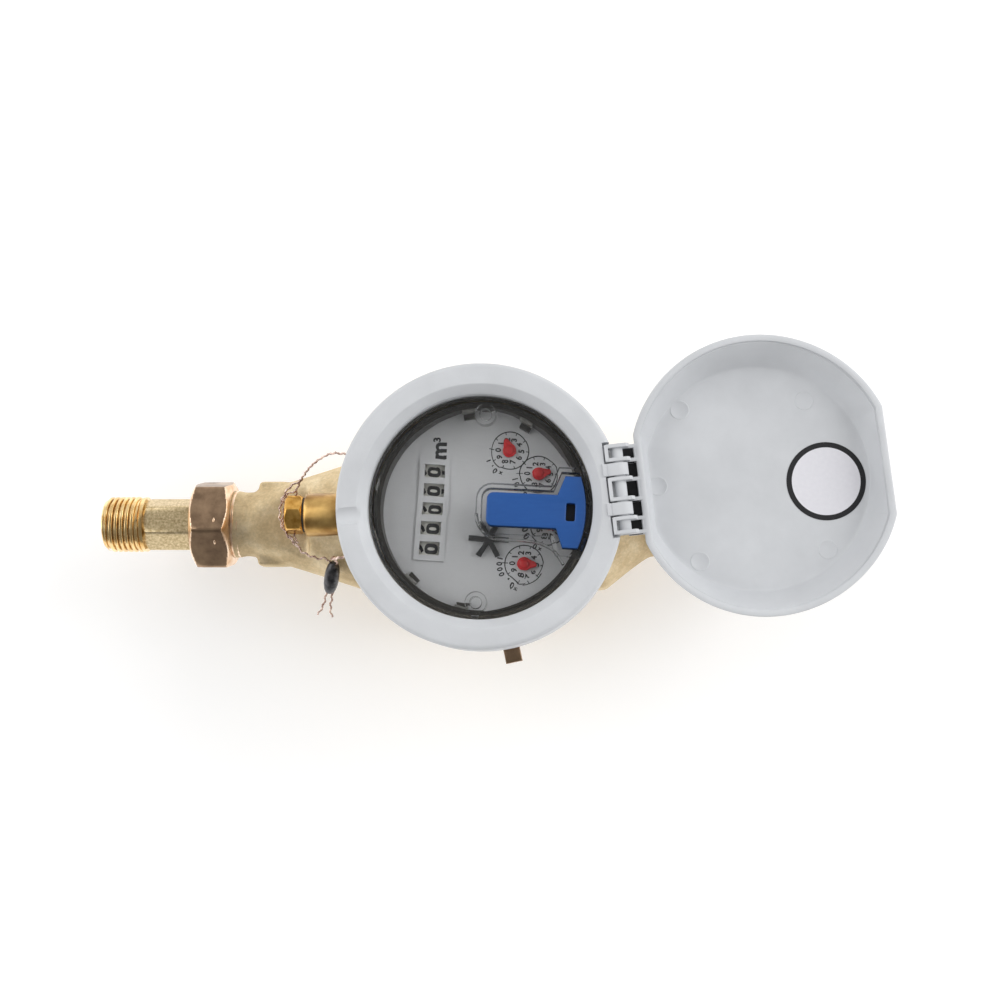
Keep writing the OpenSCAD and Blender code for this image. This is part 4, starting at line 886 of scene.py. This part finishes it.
bearing_profile = arc(0, 0, 3.4, -60, 95, 10) + [(-3.6, 3.1), (-4.2, 2.95), (-4.3, 3.3), (-5.6, 3.2), (-5.9, 2.0),
                                                 (-5.9, -6.2), (1.7, -6.2)]
for side in (-1, 1):
    block = plate("bearing", [bearing_profile], -2.2, 2.2, 0.4)
    block.transform(hinge @ moved(0, side * 7.0) @ spun(90, "X"))
    bearings.append((block, 0))
ring.data.materials.clear()
ring_parts = joined("head_ring_with_bearings", [(ring.data, 0)] + bearings, grey_abs)
bpy.data.objects.remove(ring)
ring_parts.data.set_sharp_from_angle(angle=math.radians(35))
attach(ring_parts, "meter")
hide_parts("head_ring")

# Hinge pin: a plain grey moulded pin with rounded ends, pressed in the two bearings of the ring.
# The three loops of the lid turn on it.
mesh = lathed("hinge_pin_moulded", [(0.05, -16), (1.6, -16), (2.1, -15.5), (2.1, 15.5), (1.6, 16), (0.05, 16)], 40, 50)
mesh.transform(hinge @ spun(90, "X"))
pin = shown("hinge_pin_moulded", mesh, grey_abs)
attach(pin, "meter")
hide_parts("hinge_pin")

# Lid: a dished grey moulding, round with two flats, hung on the pin by three square loops.
# Its floor keeps the round marks of five ejector pins, and a blank paper label is stuck inside.
lid_round, lid_shift, lid_flat, lid_corner, far_reach = 46.4, 4.06, 43.8, 3.0, 1.3
lid_rim, lid_depth, lid_wall = -2.8, 11.8, 2.3
floor_at, floor_radius, floor_left = -0.9, 40.6, -38.9
lid_floor = lid_rim - lid_depth


def lid_outline(inset):
    # Two arcs about centres a little apart, cut by the flats, with small round corners between them
    corner = max(lid_corner - inset, 0.3)
    cx = lid_flat - inset - corner
    cy = lid_shift + math.sqrt((lid_round - inset - corner) ** 2 - cx * cx)
    a = math.degrees(math.atan2(cy - lid_shift, cx))
    half = (arc(cx, cy, corner, 0, a, 6) + arc(0, lid_shift, lid_round - inset, a, 180 - a, 60)[1:-1]
            + arc(-cx, cy, corner, 180 - a, 180, 6))
    half += [(inset - lid_flat, cy - cy * k / 8) for k in range(1, 16)]
    whole = half + [(-x, -y) for x, y in half]
    return [(x + far_reach * max(x / lid_flat, 0) ** 2, y) for x, y in whole]


def floor_outline(shrink):
    # Where the sloping wall meets the floor: a circle, cut off on the hinge side
    points = []
    for x, y in lid_outline(lid_wall):
        reach = math.hypot(x - floor_at, y)
        share = (floor_radius - shrink) / reach
        if x < floor_at:
            share = min(share, (floor_left + shrink - floor_at) / (x - floor_at))
        points.append((floor_at + (x - floor_at) * share, y * share))
    return points


def on_wall(share):
    # An outline between the inside of the rim (0) and the edge of the floor (1)
    return [(a[0] + (b[0] - a[0]) * share, a[1] + (b[1] - a[1]) * share) for a, b in zip(rim_inside, floor_edge)]


def on_lid_floor(x, y):
    spot = hinge_turn.inverted() @ Vector((x * mm, y * mm, 0))
    return Matrix.Translation((hinge_reach * mm + spot.x, spot.y, lid_floor * mm))


rim_inside, floor_edge = lid_outline(lid_wall), floor_outline(0)
levels = [(floor_outline(1.6), lid_depth), (floor_outline(0.6), lid_depth - 0.05), (floor_edge, lid_depth - 0.22)]
levels += [(on_wall(share), depth) for share, depth in ((0.94, lid_depth - 0.7), (0.86, lid_depth - 1.7), (0.45, 5.6),
                                                        (0.12, 1.7), (0.08, 1.3))]
levels += [(rim_inside, 1.2), (rim_inside, 0.2)]
levels += [(lid_outline(inset), depth) for inset, depth in ((1.95, 0), (0.55, 0), (0.18, 0.16), (0.02, 0.55),
                                                            (0.5, 2.6), (1.9, 7.0), (3.2, 10.8), (3.7, 11.9),
                                                            (4.6, 12.9), (6.0, 13.65), (8.0, 14.0))]
bm = bmesh.new()
rows = [[bm.verts.new(((hinge_reach + x) * mm, y * mm, (lid_rim - depth) * mm)) for x, y in outline]
        for outline, depth in levels]
bridge(bm, rows)
bm.faces.new(rows[0])
bm.faces.new(rows[-1])
lid_parts = [(turned_mesh("dish", bm, 32), 0)]

# Each loop is a box round the pin; beyond the pin it steps down to the lid, so that the closed lid clears the ring.
loop_swing, cheek_thick = 4.6, 1.3
root_low, root_end = -8.8, 8.4
cheek_outline = ([(-3.4, -3.2), (-4.4, -2.2), (-4.4, 2.2), (-3.4, 3.2)] + arc(0, 0, loop_swing, 44, -20, 8)
                 + [(loop_swing, -2.7), (7.6, -2.7), (7.6, -3.6), (3.3, -3.6)])
painted_shade_pieces = []
for middle, half in ((0, 4.2), (12.9, 3.1), (-12.9, 3.1)):
    for edge in (middle - half, middle + half - cheek_thick):
        cheek = plate("cheek", [cheek_outline], 0, cheek_thick, 0.25)
        cheek.transform(moved(0, edge + cheek_thick) @ spun(90, "X"))
        lid_parts.append((cheek, 0))
    bar = plate("bar", [arc(-3.6, middle - half + 1, 0.8, 180, 270, 4)
                        + [(-3.1, middle - half + 0.2), (-3.1, middle + half - 0.2)]
                        + arc(-3.6, middle + half - 1, 0.8, 90, 180, 4)], -3.2, 3.2, 0)
    web = plate("web", [oblong(6.2, root_end - 0.1, half - 0.06, middle)], root_low + 0.2, -2.9, 0.2)
    lid_parts += [(bar, 0), (web, 0)]
    painted_shade_pieces.append(plate("root", [oblong(1.3, root_end, half, middle)], root_low, -7.6, 0.2))
# An apron under the loops closes the gap below the pin; its black top is painted shade.
painted_shade_pieces.append(plate("apron", [oblong(1.5, root_end, 15)], root_low + 0.1, -8.0, 0))
# The sides of these that face the pin are black, a painted shade for the deep gaps beside the pin.
for mesh in painted_shade_pieces:
    second_finish(mesh, lambda up: up > 0.5)
    lid_parts.append((mesh, None))
for spot in ((-28.3, 25.0), (16.7, 28.3), (-36.3, -2.9), (-21.4, -30.1), (24.3, -25.8)):
    mark = lathed("ejector_mark", [(0.05, 0.06), (2.95, 0.06), (3.1, 0.14), (3.3, 0.14), (3.55, -0.05), (0.05, -0.05)],
                  48, 60)
    mark.transform(on_lid_floor(*spot))
    lid_parts.append((mark, 0))
for mesh, finish in lid_parts:
    mesh.transform(hinge)
lid = joined("lid_moulded", lid_parts, grey_abs, black_moulding_and_painted_shade)
lid.data.set_sharp_from_angle(angle=math.radians(35))
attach(lid, "lid")
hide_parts("lid")

# Coated paper, white with a printed black border, stuck flat on the floor of the lid.
label_at, label_thick = (24.1, -1.1), 0.1
paper = mottled("coated_white_paper", 1.5, 3, "#DAD9DF", "#E4E3E8", 0.5)
label_parts = []
for inner, outer, finish in ((0.05, 12.3, 0), (12.3, 14.2, 1)):
    mesh = lathed("label", [(inner, 0), (outer, 0), (outer, label_thick), (inner, label_thick)], 96, 30)
    mesh.transform(hinge @ on_lid_floor(*label_at))
    label_parts.append((mesh, finish))
label = joined("lid_label", label_parts, paper, ink)
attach(label, "lid")

# Seal: a copper wire of two strands twisted together runs from the head ring through the drilled regulator plug
# into a lead seal, and a second end goes from the seal back to the ring. The lead is pressed flat on both ends.
wire_radius = 0.45 * mm
strand_radius = 0.27 * mm
kink, kink_length = 0.4 * mm, 3.6 * mm
twist_length = 2.6 * mm
strand_sides = 8
long_route = [(-44.7, 19, 84), (-49.7, 21.1, 84), (-57, 22, 80), (-65, 19, 71), (-71, 14, 61), (-73.2, 9, 57.4),
              (-73.2, 1.6, 57), (-73.2, -7, 57), (-71, -12, 57.5), (-65, -15, 58.5), (-60.6, -15.4, 57.6),
              (-59.8, -18.1, 55), (-61.2, -23.7, 51), (-62.6, -29.3, 47), (-64, -33, 44.8), (-66, -36, 43.5)]
short_route = [(-46.2, -15, 84), (-51.4, -16.7, 84), (-55, -17, 80.5), (-56.8, -16, 71), (-57, -15.6, 61),
               (-57.4, -18.7, 55), (-58.8, -24.3, 51), (-60.2, -29.9, 47), (-61, -33.5, 44.5), (-60.6, -37, 42.6)]


def axes_at(line, i):
    # Two directions across a line of points
    ahead = (line[min(i + 1, len(line) - 1)] - line[max(i - 1, 0)]).normalized()
    across = ahead.cross(Vector((0.6, -0.5, 0.62))).normalized()
    return across, ahead.cross(across)


def twisted_wire(name, route, finish):
    line = smooth_route(route, 24)
    bm = bmesh.new()
    for start in (0, math.pi):
        walked = 0
        strand = []
        for i, point in enumerate(line):
            if i:
                walked += (point - line[i - 1]).length
            across, up = axes_at(line, i)
            turn = start + 2 * math.pi * walked / twist_length
            bend = kink * (4 * abs((walked / kink_length) % 1 - 0.5) - 1)
            strand.append(point + bend * across
                          + (wire_radius - strand_radius) * (across * math.cos(turn) + up * math.sin(turn)))
        rings = []
        for i, point in enumerate(strand):
            across, up = axes_at(strand, i)
            turns = [2 * math.pi * k / strand_sides for k in range(strand_sides)]
            rings.append([bm.verts.new(point + strand_radius * (across * math.cos(a) + up * math.sin(a)))
                          for a in turns])
        bridge(bm, rings)
        bm.faces.new(rings[0])
        bm.faces.new(rings[-1])
    bmesh.ops.recalc_face_normals(bm, faces=bm.faces)
    mesh = meshed(name, bm)
    mesh.polygons.foreach_set("use_smooth", [True] * len(mesh.polygons))
    return shown(name, mesh, finish), line


# Copper, drawn and twisted, gone dull: pinkish metal with darker browned stretches and small bright rubbed spots.
copper = mottled("dull_drawn_copper", 2.381, 4, "#9E8074", "#EED8CC", 0.38, 1, (0.36, 0.66))
for name, route in (("seal_wire_long", long_route), ("seal_wire_short", short_route)):
    wire, line = twisted_wire(name + "_twist", route, copper)
    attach(wire, "meter")
    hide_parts(name)

# Two slack turns of the same wire lie round the end of the plug, left over from the tying.
turn_routes = [[(-70.6, 14.4, 61.6), (-75, 12, 60.2), (-78, 7.6, 59.2), (-79, 2.4, 58.6), (-78.2, -2.6, 58.2),
                (-75.6, -6.4, 57.6), (-72.1, -9.4, 57.3)],
               [(-72.4, 10.9, 58.8), (-77.2, 8.8, 58), (-77.6, 4.6, 57.2), (-78, 0.6, 56.4), (-77.6, -3.6, 57),
                (-75, -7.6, 57.2), (-71.4, -11.2, 57.4)]]
for i, route in enumerate(turn_routes):
    slack, line = twisted_wire("seal_wire_turn_%d" % (i + 1), route, copper)
    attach(slack, "meter")

# Lead, pressed on the wire with pliers: dark grey, soft shine, dented.
seal_top, seal_low = Vector((-58.6, -18.4, 55)) * mm, Vector((-61.4, -29.6, 47)) * mm
seal_half, slid_up = 7.0, 2.4
lead = mottled("pressed_lead", 2, 3, "#2C2C2E", "#5F5E60", 0.34, 0.8, (0.3, 0.75), relief=(0.35, 0.3))
mesh = lathed("lead_seal_pressed", [(0.05, -seal_half), (1.0, -seal_half), (1.7, -6.5), (2.3, -5.2), (2.75, -3),
                                    (2.9, 0), (2.75, 3), (2.3, 5.2), (1.7, 6.5), (1.0, seal_half),
                                    (0.05, seal_half)], 40, 80)
lean = (seal_low - seal_top).to_track_quat("Z", "Y").to_matrix().to_4x4()
mesh.transform(Matrix.Translation((seal_top + seal_low) / 2) @ lean @ moved(0, 0, -slid_up))
seal = shown("lead_seal_pressed", mesh, lead)
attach(seal, "meter")
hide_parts("lead_seal")
